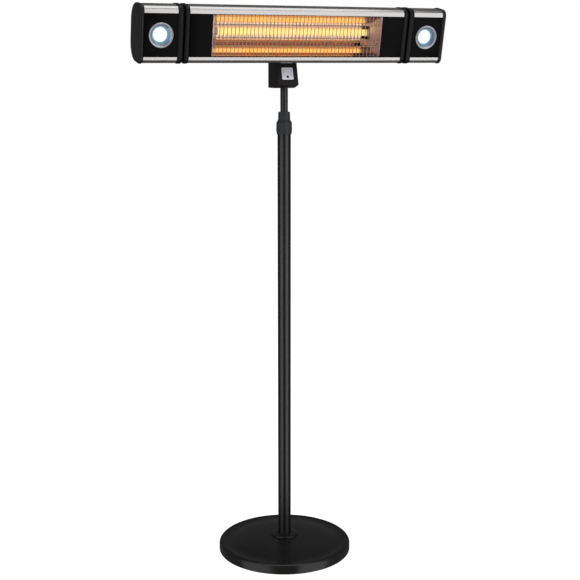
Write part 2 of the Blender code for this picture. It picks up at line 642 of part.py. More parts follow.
# --- tilt joint -------------------------------------------------------------------------------
def make_tilt_joint(tilt_axis):
    y, z = PIVOT.y, PIVOT.z
    foot = BOX_TOP + GAP
    ears = arc(y, z, EAR_RADIUS, -20, 200, 10)
    ears += [(y - YOKE_FOOT, foot), (y + YOKE_FOOT, foot)]
    hole = circle(y, z, PIVOT_BOLT_RADIUS + GAP, 16)
    yoke = slab("tilt_yoke", [ears, hole], -EAR_OUTER, EAR_OUTER, BLACK_PAINT)
    slot = box("yoke_slot", (-EAR_INNER, -0.05, foot + YOKE_FLOOR), (EAR_INNER, 0.05, 1.4))
    stem = rod("yoke_stem", STEM_RADIUS, STEM_BOTTOM, foot + YOKE_FLOOR / 2, sides=24)
    combine(yoke, slot, "DIFFERENCE")
    combine(yoke, stem, "UNION")

    bolt = rod("pivot_bolt", PIVOT_BOLT_RADIUS, -EAR_OUTER - 0.002, EAR_OUTER + PIVOT_TAIL,
               FASTENER_STEEL, location=PIVOT, rotation=TO_X, sides=16)
    head = rod("pivot_bolt_head", PIVOT_HEAD_RADIUS, -EAR_OUTER - PIVOT_HEAD_REACH,
               -EAR_OUTER - GAP, location=PIVOT, rotation=TO_X, sides=6)
    combine(bolt, head, "UNION")

    knob_axis = empty("knob_axis", PIVOT)
    lobes = []
    steps = 8 * KNOB_LOBES
    for i in range(steps):
        angle = 2 * math.pi * i / steps
        reach = KNOB_RADIUS * (0.93 + 0.07 * math.cos(KNOB_LOBES * angle))
        lobes.append((reach * math.cos(angle), reach * math.sin(angle)))
    knob_hole = circle(0, 0, PIVOT_BOLT_RADIUS + GAP, 16)
    slab("tilt_knob", [lobes, knob_hole], EAR_OUTER + GAP, EAR_OUTER + GAP + KNOB_THICK,
         END_PLASTIC, knob_axis)

    back = HEAD_CENTRE.y + HEAD_HALF_DEPTH + GAP
    level = HEAD_CENTRE.z
    lug = BRACKET_LUG_RADIUS
    tall = BRACKET_HALF_HEIGHT
    outline = [(back, level - tall), (back + 0.006, level - tall - 0.004)]
    outline += [(-lug * 0.94, lug * 0.7)]
    outline += arc(0, 0, lug, 170, 395, 10)
    outline += [(back + 0.012, level - tall + 0.002), (back + 0.004, level + tall),
                (back, level + tall)]
    eye = circle(0, 0, PIVOT_BOLT_RADIUS + GAP, 16)
    bracket = slab("head_bracket", [outline, eye], -EAR_INNER + GAP, EAR_INNER - GAP,
                   BLACK_PAINT, tilt_axis)
    wide = BRACKET_PAD_HALF_WIDTH
    pad = box("bracket_pad", (-wide, back, level - tall + 0.001),
              (wide, back + BRACKET_PAD_THICK, level + tall - 0.001), parent=tilt_axis)
    combine(bracket, pad, "UNION")


# --- heater head ------------------------------------------------------------------------------
def make_head(head):
    slab("heater_shell", [head_channel()], -RING_START + GAP, RING_START - GAP, ALUMINIUM, head)
    plate_front = -HEAD_HALF_DEPTH + PLATE_RECESS
    plate_half = HEAD_LIP - GAP
    for name, side in SIDES:
        low, high = side_span(side, RING_START, RING_END)
        ring = slab(f"end_ring_{name}", [head_section(-RING_PROUD)], low, high, END_PLASTIC, head)
        round_edges(ring, RING_EDGE, 1)
        low, high = side_span(side, RING_START - CUTTER, RING_END - POCKET_INSET)
        pocket = slab(f"ring_pocket_{name}", [head_section(POCKET_INSET)], low, high, parent=head)
        low, high = side_span(side, RING_START - CUTTER, RING_END + CUTTER)
        bore = rod(f"ring_bore_{name}", SPIGOT_RADIUS + GAP, low, high, parent=head,
                   rotation=TO_X)
        combine(ring, pocket, "DIFFERENCE")
        combine(ring, bore, "DIFFERENCE")
        low, high = side_span(side, WINDOW_HALF + GAP, RING_START - GAP)
        box(f"front_plate_{name}", (low, plate_front, -plate_half),
            (high, plate_front + PLATE_THICK, plate_half), PLATE_BLACK, head)

    box("led_driver", DRIVER_LOW, DRIVER_HIGH, TERMINAL_WHITE, head)
    make_reflector(head)
    make_lamp(head)
    make_guard(head)


def make_reflector(head):
    """Pressed trough of flat strips with a wall at each end."""
    half = WINDOW_HALF - GAP
    work = bmesh.new()
    corners = [work.verts.new((-half, y, z)) for y, z in REFLECTOR_PROFILE]
    line = [work.edges.new(pair) for pair in zip(corners, corners[1:])]
    drawn = bmesh.ops.extrude_edge_only(work, edges=line)
    far = [item for item in drawn["geom"] if isinstance(item, bmesh.types.BMVert)]
    bmesh.ops.translate(work, vec=(2 * half, 0, 0), verts=far)
    mesh = bpy.data.meshes.new("reflector")
    work.to_mesh(mesh)
    work.free()
    trough = piece("reflector", mesh, REFLECTOR, head)
    thick = trough.modifiers.new("sheet", "SOLIDIFY")
    thick.thickness = REFLECTOR_SHEET
    thick.offset = 0.0
    for name, side in SIDES:
        low, high = side_span(side, half - 0.0012, half - 0.0002)
        wall = slab(f"reflector_end_{name}", [REFLECTOR_PROFILE], low, high, parent=head)
        combine(trough, wall, "UNION")


def make_lamp(head):
    inner = LAMP_RADIUS - LAMP_WALL
    middle = (0.0, LAMP_Y, LAMP_Z)
    turned("lamp_tube", [(LAMP_RADIUS, LAMP_HALF), (LAMP_RADIUS, -LAMP_HALF),
                         (inner, -LAMP_HALF), (inner, LAMP_HALF)], QUARTZ, head, middle, TO_X,
           steps=24)
    reach = LAMP_HALF - 0.003
    rod("filament", FILAMENT_RADIUS, -reach, reach, FILAMENT, head, middle, TO_X, sides=16)
    for name, side in SIDES:
        cap_end = LAMP_HALF + GAP + LAMP_CAP_LENGTH
        low, high = side_span(side, LAMP_HALF + GAP, cap_end)
        cap = rod(f"lamp_cap_{name}", LAMP_CAP_RADIUS, low, high, CERAMIC, head, middle, TO_X,
                  sides=20)
        round_edges(cap, 0.001, 1)
        low, high = side_span(side, cap_end + GAP, cap_end + GAP + 0.0012)
        clip = rounded_outline([(CLIP_LOW[0], CLIP_LOW[1], 0.002), (CLIP_HIGH[0], CLIP_LOW[1], 0.002),
                                (CLIP_HIGH[0], CLIP_HIGH[1], 0.002),
                                (CLIP_LOW[0], CLIP_HIGH[1], 0.002)], 2)
        slab(f"lamp_clip_{name}", [clip], low, high, FASTENER_STEEL, head)


def make_guard(head):
    """Welded guard: a row of upright wires on the front, with cross and border wires behind."""
    half_width = WINDOW_HALF - 2 * GAP
    half_height = HEAD_LIP - 2 * GAP
    front = -HEAD_HALF_DEPTH + GUARD_RECESS
    columns = 2 * int((half_width - WIRE) / WIRE_PITCH)
    first = -WIRE_PITCH * columns / 2
    guard = box("wire_guard", (first - WIRE / 2, front, -half_height),
                (first + WIRE / 2, front + WIRE, half_height), WIRE_STEEL, head)
    repeat = guard.modifiers.new("uprights", "ARRAY")
    repeat.count = columns + 1
    repeat.use_relative_offset = False
    repeat.use_constant_offset = True
    repeat.constant_offset_displace = (WIRE_PITCH, 0.0, 0.0)
    back = front + WIRE_SETBACK
    border = half_height - WIRE / 2 - 0.0002
    for number, level in enumerate((-border, *GUARD_LEVELS, border)):
        cross = box(f"cross_wire_{number + 1}", (-half_width, back, level - WIRE / 2),
                    (half_width, back + WIRE, level + WIRE / 2), parent=head)
        combine(guard, cross, "UNION")


# --- lamp modules -----------------------------------------------------------------------------
def make_module(name, side, axis):
    low, high = side_span(side, MODULE_RING_END + GAP, MODULE_CAP_START - GAP)
    slab(f"spot_shell_{name}", [head_channel()], low, high, ALUMINIUM, axis)

    low, high = side_span(side, MODULE_RING_START, MODULE_RING_END)
    ring = slab(f"spot_ring_{name}", [head_section(-RING_PROUD)], low, high, END_PLASTIC, axis)
    round_edges(ring, RING_EDGE, 1)
    low, high = side_span(side, RING_END + GAP, MODULE_RING_START + 0.003)
    neck = slab(f"spot_neck_{name}", [head_section(NECK_INSET)], low, high, parent=axis)
    low, high = side_span(side, RING_START + 0.003, RING_END + 0.003)
    spigot = rod(f"spot_spigot_{name}", SPIGOT_RADIUS, low, high, parent=axis, rotation=TO_X)
    low, high = side_span(side, RING_START, MODULE_RING_END + CUTTER)
    bore = rod(f"spot_bore_{name}", SPIGOT_RADIUS - SPIGOT_WALL, low, high, parent=axis,
               rotation=TO_X)
    low, high = side_span(side, MODULE_RING_START + POCKET_INSET, MODULE_RING_END + CUTTER)
    pocket = slab(f"spot_pocket_{name}", [head_section(POCKET_INSET)], low, high, parent=axis)
    combine(ring, pocket, "DIFFERENCE")
    combine(ring, neck, "UNION")
    combine(ring, spigot, "UNION")
    combine(ring, bore, "DIFFERENCE")

    low, high = side_span(side, MODULE_CAP_START, MODULE_CAP_END)
    cap = slab(f"end_cap_{name}", [head_section(-RING_PROUD)], low, high, END_PLASTIC, axis)
    round_edges(cap, CAP_EDGE, 2)
    low, high = side_span(side, MODULE_CAP_START - CUTTER, MODULE_CAP_END - CAP_WALL)
    hollow = slab(f"cap_hollow_{name}", [head_section(CAP_WALL)], low, high, parent=axis)
    combine(cap, hollow, "DIFFERENCE")

    plate_front = -HEAD_HALF_DEPTH + PLATE_RECESS
    plate_half = HEAD_LIP - GAP
    low, high = side_span(side, MODULE_RING_END + GAP, MODULE_CAP_START - GAP)
    plate = box(f"spot_plate_{name}", (low, plate_front, -plate_half),
                (high, plate_front + PLATE_THICK, plate_half), PLATE_BLACK, axis)
    centre = (side * SPOT_X, plate_front, 0.0)
    hole = rod(f"spot_hole_{name}", BEZEL_BODY_RADIUS + GAP, -CUTTER, CUTTER, parent=axis,
               location=centre, rotation=TO_Y, sides=28)
    combine(plate, hole, "DIFFERENCE")
    seat = LENS_RADIUS + GAP
    ledge = LENS_RADIUS - LENS_SHELF
    turned(f"spot_bezel_{name}", [(BEZEL_RADIUS - 0.001, BEZEL_PROUD),
                                  (BEZEL_RADIUS, BEZEL_PROUD - 0.001),
                                  (BEZEL_RADIUS, GAP), (BEZEL_BODY_RADIUS, GAP),
                                  (BEZEL_BODY_RADIUS, -BEZEL_DEPTH), (ledge, -BEZEL_DEPTH),
                                  (ledge, -LENS_BACK - GAP), (seat, -LENS_BACK - GAP),
                                  (seat, -LENS_FRONT), (BEZEL_MOUTH, -BEZEL_MOUTH_DEPTH),
                                  (BEZEL_BODY_RADIUS - 0.001, 0.0016)],
           BEZEL_GREY, axis, centre, TO_Y, steps=28)
    crown = LENS_CROWN - LENS_FRONT
    turned(f"spot_lens_{name}", [(0.0, crown), (0.5 * LENS_RADIUS, crown - 0.25 * LENS_CROWN),
                                 (0.8 * LENS_RADIUS, crown - 0.64 * LENS_CROWN),
                                 (LENS_RADIUS, -LENS_FRONT), (LENS_RADIUS, -LENS_BACK),
                                 (0.0, -LENS_BACK)],
           SPOT_LENS, axis, centre, TO_Y, steps=24, ring=False)
    rod(f"spot_board_{name}", SPOT_BOARD_RADIUS, -SPOT_BOARD_BACK, -LENS_BACK - 0.0004,
        SPOT_BOARD, axis, centre, TO_Y, sides=24)


make_foot()
make_clamp()
make_mast()
make_box()
tilt_axis = empty("tilt_axis", PIVOT, (REST_TILT, 0.0, 0.0))
head_frame = empty("head_frame", HEAD_CENTRE, parent=tilt_axis)
make_tilt_joint(tilt_axis)
make_head(head_frame)
for side_name, side_sign in SIDES:
    module_axis = empty(f"spot_axis_{side_name}", (0.0, 0.0, 0.0), parent=head_frame)
    make_module(side_name, side_sign, module_axis)
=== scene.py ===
"""Looks of the free-standing infrared patio heater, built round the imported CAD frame.

Units are metres, +Z is up and -Y is the side that heats. Pieces of the tilting head are made in the
head's own frame, whose origin is on the axis of the turning lamp modules and whose X runs along it.
"""

import json
import math

import bmesh
import bpy
from mathutils import Matrix, Vector


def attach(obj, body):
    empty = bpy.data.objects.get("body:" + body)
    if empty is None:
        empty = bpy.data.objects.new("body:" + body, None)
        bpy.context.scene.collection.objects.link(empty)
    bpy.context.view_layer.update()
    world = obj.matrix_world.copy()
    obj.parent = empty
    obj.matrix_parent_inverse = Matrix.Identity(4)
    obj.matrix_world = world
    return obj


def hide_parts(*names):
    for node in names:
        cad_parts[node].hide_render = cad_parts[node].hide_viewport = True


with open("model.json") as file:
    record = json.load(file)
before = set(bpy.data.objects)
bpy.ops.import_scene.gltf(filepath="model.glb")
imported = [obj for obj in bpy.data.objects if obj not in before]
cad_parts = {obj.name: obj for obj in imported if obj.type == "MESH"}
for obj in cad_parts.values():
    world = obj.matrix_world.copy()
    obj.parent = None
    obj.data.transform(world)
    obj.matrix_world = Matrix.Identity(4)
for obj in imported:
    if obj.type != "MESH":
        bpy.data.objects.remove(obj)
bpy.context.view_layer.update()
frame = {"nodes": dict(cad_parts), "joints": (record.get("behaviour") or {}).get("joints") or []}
nodes = frame["nodes"]
joints = {joint["name"]: joint for joint in frame["joints"]}

# --- driving dimensions ---
REST_TILT = math.radians(11.0)
PIVOT = Vector(joints["head_tilt"]["pos_m"])
HEAD = Matrix.Translation(joints["spot_left_turn"]["pos_m"]) @ Matrix.Rotation(REST_TILT, 4, "X")
WORLD = Matrix.Identity(4)
SIDES = (("left", -1.0), ("right", 1.0))

SECTION_FRONT_RADIUS = 0.0140
SECTION_BACK_RADIUS = 0.0407
RING_PROUD = 0.0015
CHANNEL_WALL = 0.002
WIRE_RADIUS = 0.0009
WIRE_PITCH = 0.0096
CROSS_LEVELS = (0.0262, -0.0135, -0.0233)
TROUGH = [(-0.0363, 0.0486), (-0.0280, 0.0437), (-0.0180, 0.0368), (-0.0068, 0.0284),
          (0.0199, 0.0237), (0.0199, -0.0187), (-0.0059, -0.0318), (-0.0140, -0.0370),
          (-0.0240, -0.0420), (-0.0363, -0.0486)]
WALL_SPLAY = 0.50            # how far the trough's end walls lean in, for each metre of depth
NOTCH_RISE = 0.008           # opening for the lamp in an end wall, above and below the tube
SPOT_MOUTH = 0.0212          # front of the cone round a lens
LENS_DEPTH = 0.0088          # edge of a lens behind its plate
LENS_CROWN = 0.0013

ROOM_LIGHT = 0.10            # brightness of the studio round the soft boxes
CAMERA_AZIMUTH = math.radians(-22.47)
CAMERA_DISTANCE = 2.955
CAMERA_HEIGHT = 1.2825
CAMERA_PITCH = math.radians(11.07)
CAMERA_SIDESTEP = 0.0147
CAMERA_LENS = 72.78
SENSOR_WIDTH = 36.0
FLOOR_REACH = 14.0

COVER_SHEET = 0.0014         # sheet of the foot's cover
COVER_EDGE = 0.009           # rounding of its rim
TUBE_WALL = 0.0012
COLLAR_FLUTES = 16
PANEL_HEIGHT = 1.251         # middle of the panel on the control box
PANEL_HALF = 0.0150
BOX_WALL = 0.0025
BUTTON_HOLE = 0.0034
BUTTON_DROP = 0.0078         # button below the middle of the panel
LIGHT_SPREAD = 0.0098        # blue lights to each side of the middle
BOLT_HOLE = 0.0043
SCREW_RADIUS = 0.0029
SHEET_GAP = 0.0003           # between plates that lie against each other
BEZEL_RADIUS = 0.0289
LENS_RADIUS = 0.0172
GUARD_BEND = 0.004

QUARTER_X = Matrix.Rotation(math.pi / 2, 4, "X")
QUARTER_Y = Matrix.Rotation(math.pi / 2, 4, "Y")
CORNERS = ((-1, -1, "l_low"), (-1, 1, "l_high"), (1, -1, "r_low"), (1, 1, "r_high"))


def span(node, space=WORLD):
    """Lowest and highest corner of a CAD node, in the world or in another frame."""
    inverse = space.inverted()
    points = [inverse @ vertex.co for vertex in nodes[node].data.vertices]
    low = Vector([min(point[i] for point in points) for i in range(3)])
    high = Vector([max(point[i] for point in points) for i in range(3)])
    return low, high


shell_low, shell_high = span("heater_shell", HEAD)
HALF_DEPTH = (shell_high.y - shell_low.y) / 2
HALF_HEIGHT = (shell_high.z - shell_low.z) / 2
LIP = span("front_plate_right", HEAD)[1].z + SHEET_GAP
POLE_RADIUS = span("outer_tube")[1].x


# --- mesh helpers ---
def linked(name, data):
    made = bpy.data.objects.new(name, data)
    bpy.context.scene.collection.objects.link(made)
    return made


def new_piece(name, node, mesh, finish, body, space=WORLD, angle=32):
    """Object on a mesh that rides on a CAD body and may stand for a CAD node."""
    made = linked(name, mesh)
    made.matrix_world = space
    mesh.name = name + "_mesh"
    mesh.materials.clear()
    mesh.materials.append(finish)
    mesh.shade_smooth()
    mesh.set_sharp_from_angle(angle=math.radians(angle))
    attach(made, body)
    if node:
        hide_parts(node)


def turned(name, node, profile, finish, body, space=WORLD, steps=96, closed=True, wave=None):
    """Piece turned about the Z axis of its frame."""
    new_piece(name, node, lathe(profile, steps, closed, wave), finish, body, space)


def shift(x, y, z):
    return Matrix.Translation((x, y, z))


def mesh_from(work, merge=True):
    if merge:
        bmesh.ops.remove_doubles(work, verts=work.verts, dist=0.000002)
    bmesh.ops.recalc_face_normals(work, faces=work.faces)
    mesh = bpy.data.meshes.new("mesh")
    work.to_mesh(mesh)
    work.free()
    return mesh


def rounded(points, closed=True, steps=6):
    """Polyline through (a, b, radius) corners with each corner rounded."""
    path = []
    count = len(points)
    for i, (a, b, radius) in enumerate(points):
        here = Vector((a, b))
        if radius <= 0.0 or (not closed and i in (0, count - 1)):
            path.append((a, b))
            continue
        before = (Vector(points[i - 1][:2]) - here).normalized()
        after = (Vector(points[(i + 1) % count][:2]) - here).normalized()
        half = before.angle(after) / 2
        middle = here + (before + after).normalized() * (radius / math.sin(half))
        first = here + before * (radius / math.tan(half)) - middle
        turn = math.pi - 2 * half
        if (-before).cross(after) < 0:
            turn = -turn
        for step in range(steps + 1):
            path.append(tuple(middle + Matrix.Rotation(turn * step / steps, 2) @ first))
    return path


def arc(centre_y, centre_z, radius, start_deg, end_deg, steps):
    points = []
    for i in range(steps + 1):
        angle = math.radians(start_deg + (end_deg - start_deg) * i / steps)
        points.append((centre_y + radius * math.cos(angle), centre_z + radius * math.sin(angle)))
    return points


def lathe(profile, steps=96, closed=True, wave=None):
    """Turned mesh about Z. wave(radius, height, angle) may change a point's radius."""
    work = bmesh.new()
    rows = []
    for i in range(steps):
        angle = 2 * math.pi * i / steps
        row = []
        for radius, height in profile:
            reach = wave(radius, height, angle) if wave else radius
            row.append(work.verts.new((reach * math.cos(angle), reach * math.sin(angle), height)))
        rows.append(row)
    last = len(profile) if closed else len(profile) - 1
    for i in range(steps):
        here, there = rows[i], rows[(i + 1) % steps]
        for j in range(last):
            k = (j + 1) % len(profile)
            if profile[j][0] < 1e-7 and profile[k][0] < 1e-7:
                continue
            corners = [here[j], there[j], there[k], here[k]]
            if profile[j][0] < 1e-7:
                corners = [here[j], there[k], here[k]]
            elif profile[k][0] < 1e-7:
                corners = [here[j], there[j], here[k]]
            work.faces.new(corners)
    return mesh_from(work)


def extrude(work, corners, step):
    face = work.faces.new([work.verts.new(corner) for corner in corners])
    grown = bmesh.ops.extrude_face_region(work, geom=[face])
    moved = [item for item in grown["geom"] if isinstance(item, bmesh.types.BMVert)]
    bmesh.ops.translate(work, vec=step, verts=moved)


def prism(outline, start, end, bevel=0.0, segments=4):
    """Solid with an outline in the YZ plane, from X = start to X = end, with rounded rims."""
    work = bmesh.new()
    extrude(work, [(start, y, z) for y, z in outline], (end - start, 0, 0))
    if bevel > 0.0:
        middle = (start + end) / 2
        rims = [edge for edge in work.edges
                if (edge.verts[0].co.x - middle) * (edge.verts[1].co.x - middle) > 0]
        bmesh.ops.bevel(work, geom=rims, offset=bevel, segments=segments, profile=0.5,
                        affect="EDGES", clamp_overlap=True)
    return mesh_from(work)


def block(low, high, bevel=0.0005, segments=3):
    work = bmesh.new()
    bmesh.ops.create_cube(work, size=1.0)
    bmesh.ops.scale(work, vec=Vector(high) - Vector(low), verts=work.verts)
    bmesh.ops.translate(work, vec=(Vector(high) + Vector(low)) / 2, verts=work.verts)
    if bevel > 0.0:
        bmesh.ops.bevel(work, geom=work.edges[:], offset=bevel, segments=segments, profile=0.5,
                        affect="EDGES", clamp_overlap=True)
    return mesh_from(work)


def cylinder(radius, start, end, space=WORLD, sides=64):
    """Plain round mesh along the Z axis of a frame, used as a cutter."""
    work = bmesh.new()
    bmesh.ops.create_cone(work, cap_ends=True, segments=sides, radius1=radius, radius2=radius,
                          depth=end - start)
    bmesh.ops.translate(work, vec=(0, 0, (start + end) / 2), verts=work.verts)
    bmesh.ops.transform(work, matrix=space, verts=work.verts)
    return mesh_from(work)


def tubes(paths, radius, sides=10):
    """Round wires along paths, joined in one mesh with closed ends."""
    work = bmesh.new()
    for path in paths:
        points = [Vector(point) for point in path]
        rings = []
        normal = None
        for i, point in enumerate(points):
            along = direction(points, i)
            if normal is None:
                normal = along.orthogonal().normalized()
            normal = (normal - along * normal.dot(along)).normalized()
            other = along.cross(normal)
            ring = []
            for k in range(sides):
                angle = 2 * math.pi * k / sides
                offset = normal * math.cos(angle) + other * math.sin(angle)
                ring.append(work.verts.new(point + offset * radius))
            rings.append(ring)
        for here, there in zip(rings, rings[1:]):
            for k in range(sides):
                m = (k + 1) % sides
                work.faces.new((here[k], here[m], there[m], there[k]))
        work.faces.new(rings[0][::-1])
        work.faces.new(rings[-1])
    return mesh_from(work, merge=False)


def combined(mesh, others, operation):
    target = linked("work", mesh)
    helpers = [linked("helper", other) for other in others]
    for helper in helpers:
        change = target.modifiers.new("change", "BOOLEAN")
        change.operation = operation
        change.solver = "EXACT"
        change.object = helper
    bpy.context.view_layer.update()
    found = target.evaluated_get(bpy.context.evaluated_depsgraph_get())
    result = bpy.data.meshes.new_from_object(found)
    for helper in helpers + [target]:
        bpy.data.objects.remove(helper)
    return result


def cut(mesh, *cutters):
    return combined(mesh, cutters, "DIFFERENCE")


def joined(mesh, *others):
    return combined(mesh, others, "UNION")


def direction(points, i):
    """Direction of a polyline at one of its points."""
    return (Vector(points[min(i + 1, len(points) - 1)]) - Vector(points[max(i - 1, 0)])).normalized()


def offset_path(points, distance):
    """Open polyline moved sideways by a distance."""
    moved = []
    for i, (x, y) in enumerate(points):
        along = direction(points, i)
        moved.append((x - along.y * distance, y + along.x * distance))
    return moved


def smooth_path(points, per_span=6):
    """Catmull-Rom curve through a list of points in a plane."""
    ends = [points[0]] + list(points) + [points[-1]]
    path = []
    for i in range(1, len(ends) - 2):
        p0, p1, p2, p3 = [Vector(ends[i + k]) for k in (-1, 0, 1, 2)]
        for step in range(per_span):
            t = step / per_span
            point = 0.5 * ((2 * p1) + (p2 - p0) * t + (2 * p0 - 5 * p1 + 4 * p2 - p3) * t * t
                           + (3 * p1 - p0 - 3 * p2 + p3) * t ** 3)
            path.append(tuple(point))
    path.append(tuple(points[-1]))
    return path


def section(inset=0.0, front_steps=10, back_steps=16):
    """Outline of the head: flat front with small corners, back with large ones."""
    depth = HALF_DEPTH - inset
    height = HALF_HEIGHT - inset
    front = SECTION_FRONT_RADIUS - inset
    back = SECTION_BACK_RADIUS - inset
    points = arc(-depth + front, -height + front, front, 180, 270, front_steps)
    points += arc(depth - back, -height + back, back, 270, 360, back_steps)
    points += arc(depth - back, height - back, back, 0, 90, back_steps)
    points += arc(-depth + front, height - front, front, 90, 180, front_steps)
    return points


def refined(points, pitch):
    """Polyline with more points, so that grooves can be pressed into it."""
    path = []
    for here, there in zip(points, points[1:]):
        a, b = Vector(here), Vector(there)
        parts = max(1, int((b - a).length / pitch))
        for i in range(parts):
            path.append(tuple(a.lerp(b, i / parts)))
    path.append(points[-1])
    return path


def grooved(points, places, depth, width):
    """Outline with rounded grooves pressed in, to the left of its direction, round the places."""
    path = []
    for i, (x, y) in enumerate(points):
        along = direction(points, i)
        push = 0.0
        for place in places:
            near = (Vector((x, y)) - Vector(place)).length
            if near < width:
                push = max(push, depth * 0.5 * (1 + math.cos(math.pi * near / width)))
        path.append((x - along.y * push, y + along.x * push))
    return path


def side_span(side, near, far):
    return (near, far) if side > 0 else (-far, -near)


# --- materials ---
class Finish:
    """Small builder for a node material round one Principled shader."""

    def __init__(self, name, colour, roughness, metallic=0.0, specular=0.5):
        self.made = bpy.data.materials.new(name)
        self.made.use_nodes = True
        self.tree = self.made.node_tree
        self.shader = self.tree.nodes["Principled BSDF"]
        self.set("Base Color", (*colour, 1.0))
        self.set("Roughness", roughness)
        self.set("Metallic", metallic)
        self.set("Specular IOR Level", specular)
        self.colour = colour
        self.roughness = roughness
        self.place = self.tree.nodes.new("ShaderNodeTexCoord").outputs["Object"]
        self.height = None

    def set(self, socket, value):
        self.shader.inputs[socket].default_value = value

    def node(self, kind, **values):
        made = self.tree.nodes.new(kind)
        for key, value in values.items():
            setattr(made, key, value)
        return made

    def link(self, start, end):
        self.tree.links.new(start, end)

    def scaled(self, scale):
        mapping = self.node("ShaderNodeMapping")
        mapping.inputs["Scale"].default_value = scale
        self.link(self.place, mapping.inputs["Vector"])
        return mapping.outputs["Vector"]

    def noise(self, scale, detail=4.0, stretch=(1, 1, 1)):
        made = self.node("ShaderNodeTexNoise")
        made.inputs["Scale"].default_value = scale
        made.inputs["Detail"].default_value = detail
        made.inputs["Roughness"].default_value = 0.55
        self.link(self.scaled(stretch), made.inputs["Vector"])
        return made.outputs["Fac"]

    def ramp(self, factor, stops):
        made = self.node("ShaderNodeValToRGB")
        elements = made.color_ramp.elements
        while len(elements) < len(stops):
            elements.new(0.5)
        for element, (position, colour) in zip(elements, stops):
            element.position = position
            element.color = (*colour, 1.0)
        self.link(factor, made.inputs["Fac"])
        return made.outputs["Color"]

    def spread(self, factor, low, high, start=0.3, end=0.7):
        """Factor mapped from one range to another."""
        made = self.node("ShaderNodeMapRange")
        for socket, value in (("From Min", start), ("From Max", end), ("To Min", low),
                              ("To Max", high)):
            made.inputs[socket].default_value = value
        self.link(factor, made.inputs["Value"])
        return made.outputs["Result"]

    def radial(self):
        """Distance from the piece's Z axis."""
        made = self.node("ShaderNodeVectorMath", operation="LENGTH")
        self.link(self.scaled((1.0, 1.0, 0.0)), made.inputs[0])
        return made.outputs["Value"]

    def mottle(self, scale, amount, stretch=(1, 1, 1)):
        """Slow change of colour, lighter and darker than the base."""
        dark = [c * (1 - amount) for c in self.colour]
        light = [min(1.0, c * (1 + amount)) for c in self.colour]
        colour = self.ramp(self.noise(scale, stretch=stretch), [(0.3, dark), (0.7, light)])
        self.link(colour, self.shader.inputs["Base Color"])
        return self

    def tinted(self, tint):
        """Base colour multiplied by a colour that changes over the surface."""
        mix = self.node("ShaderNodeMix", data_type="RGBA", blend_type="MULTIPLY")
        mix.inputs["Factor"].default_value = 1.0
        base = self.shader.inputs["Base Color"]
        self.link(base.links[0].from_socket, mix.inputs[6])
        self.link(tint, mix.inputs[7])
        self.link(mix.outputs[2], base)
        return self

    def vary_roughness(self, scale, amount, stretch=(1, 1, 1)):
        value = self.spread(self.noise(scale, stretch=stretch), self.roughness - amount,
                            self.roughness + amount)
        self.link(value, self.shader.inputs["Roughness"])
        return self

    def grain(self, scale, strength, distance=0.0001, stretch=(1, 1, 1)):
        """Fine relief, on top of any that is there."""
        made = self.node("ShaderNodeBump")
        made.inputs["Strength"].default_value = strength
        made.inputs["Distance"].default_value = distance
        self.link(self.noise(scale, 3.0, stretch), made.inputs["Height"])
        if self.height:
            self.link(self.height, made.inputs["Normal"])
        self.height = made.outputs["Normal"]
        self.link(self.height, self.shader.inputs["Normal"])
        return self

    def glow(self, colour, strength):
        self.set("Emission Color", (*colour, 1.0))
        self.set("Emission Strength", strength)
        return self

    def worn_edges(self, colour, amount=0.5):
        """Lighter rubbed edges where the surface bends sharply."""
        edges = self.node("ShaderNodeNewGeometry").outputs["Pointiness"]
        rubbed = self.spread(edges, 0.0, amount, 0.53, 0.60)
        broken = self.node("ShaderNodeMath", operation="MULTIPLY")
        self.link(rubbed, broken.inputs[0])
        self.link(self.spread(self.noise(60), 0.2, 1.0), broken.inputs[1])
        mix = self.node("ShaderNodeMix", data_type="RGBA")
        self.link(broken.outputs[0], mix.inputs["Factor"])
        base = self.shader.inputs["Base Color"]
        self.link(base.links[0].from_socket, mix.inputs[6])
        mix.inputs[7].default_value = (*colour, 1.0)
        self.link(mix.outputs[2], base)
        return self


def paint(name, colour, roughness, specular=0.5, drawn=0.0):
    """Satin powder coat. drawn stretches its highlights along the Z axis of the piece."""
    made = Finish(name, colour, roughness, specular=specular)
    made.set("Anisotropic", drawn)
    made.set("Anisotropic Rotation", 0.25)
    made.mottle(6, 0.18).vary_roughness(9, 0.05)
    made.grain(900, 0.10, 0.00006).grain(140, 0.05, 0.0001)
    return made.worn_edges([min(1.0, c * 3 + 0.02) for c in colour], 0.35).made


def plastic(name, colour, roughness, grain=0.16, scale=1700, specular=0.5):
    made = Finish(name, colour, roughness, specular=specular)
    made.mottle(14, 0.12).vary_roughness(35, 0.05).grain(scale, grain, 0.00008)
    return made.worn_edges([min(1.0, c * 2.2 + 0.012) for c in colour], 0.4).made


def steel(name, colour, roughness):
    made = Finish(name, colour, roughness, metallic=1.0)
    made.mottle(40, 0.10).vary_roughness(60, 0.07).grain(500, 0.12, 0.00005)
    return made.made


def brushed(name, colour, roughness):
    """Anodised aluminium, brushed along X."""
    made = Finish(name, colour, roughness, metallic=1.0)
    streak = (0.012, 1.0, 1.0)
    made.mottle(900, 0.06, streak).vary_roughness(1400, 0.07, streak)
    made.grain(2400, 0.22, 0.00003, streak).grain(5, 0.02, 0.001)
    return made.made


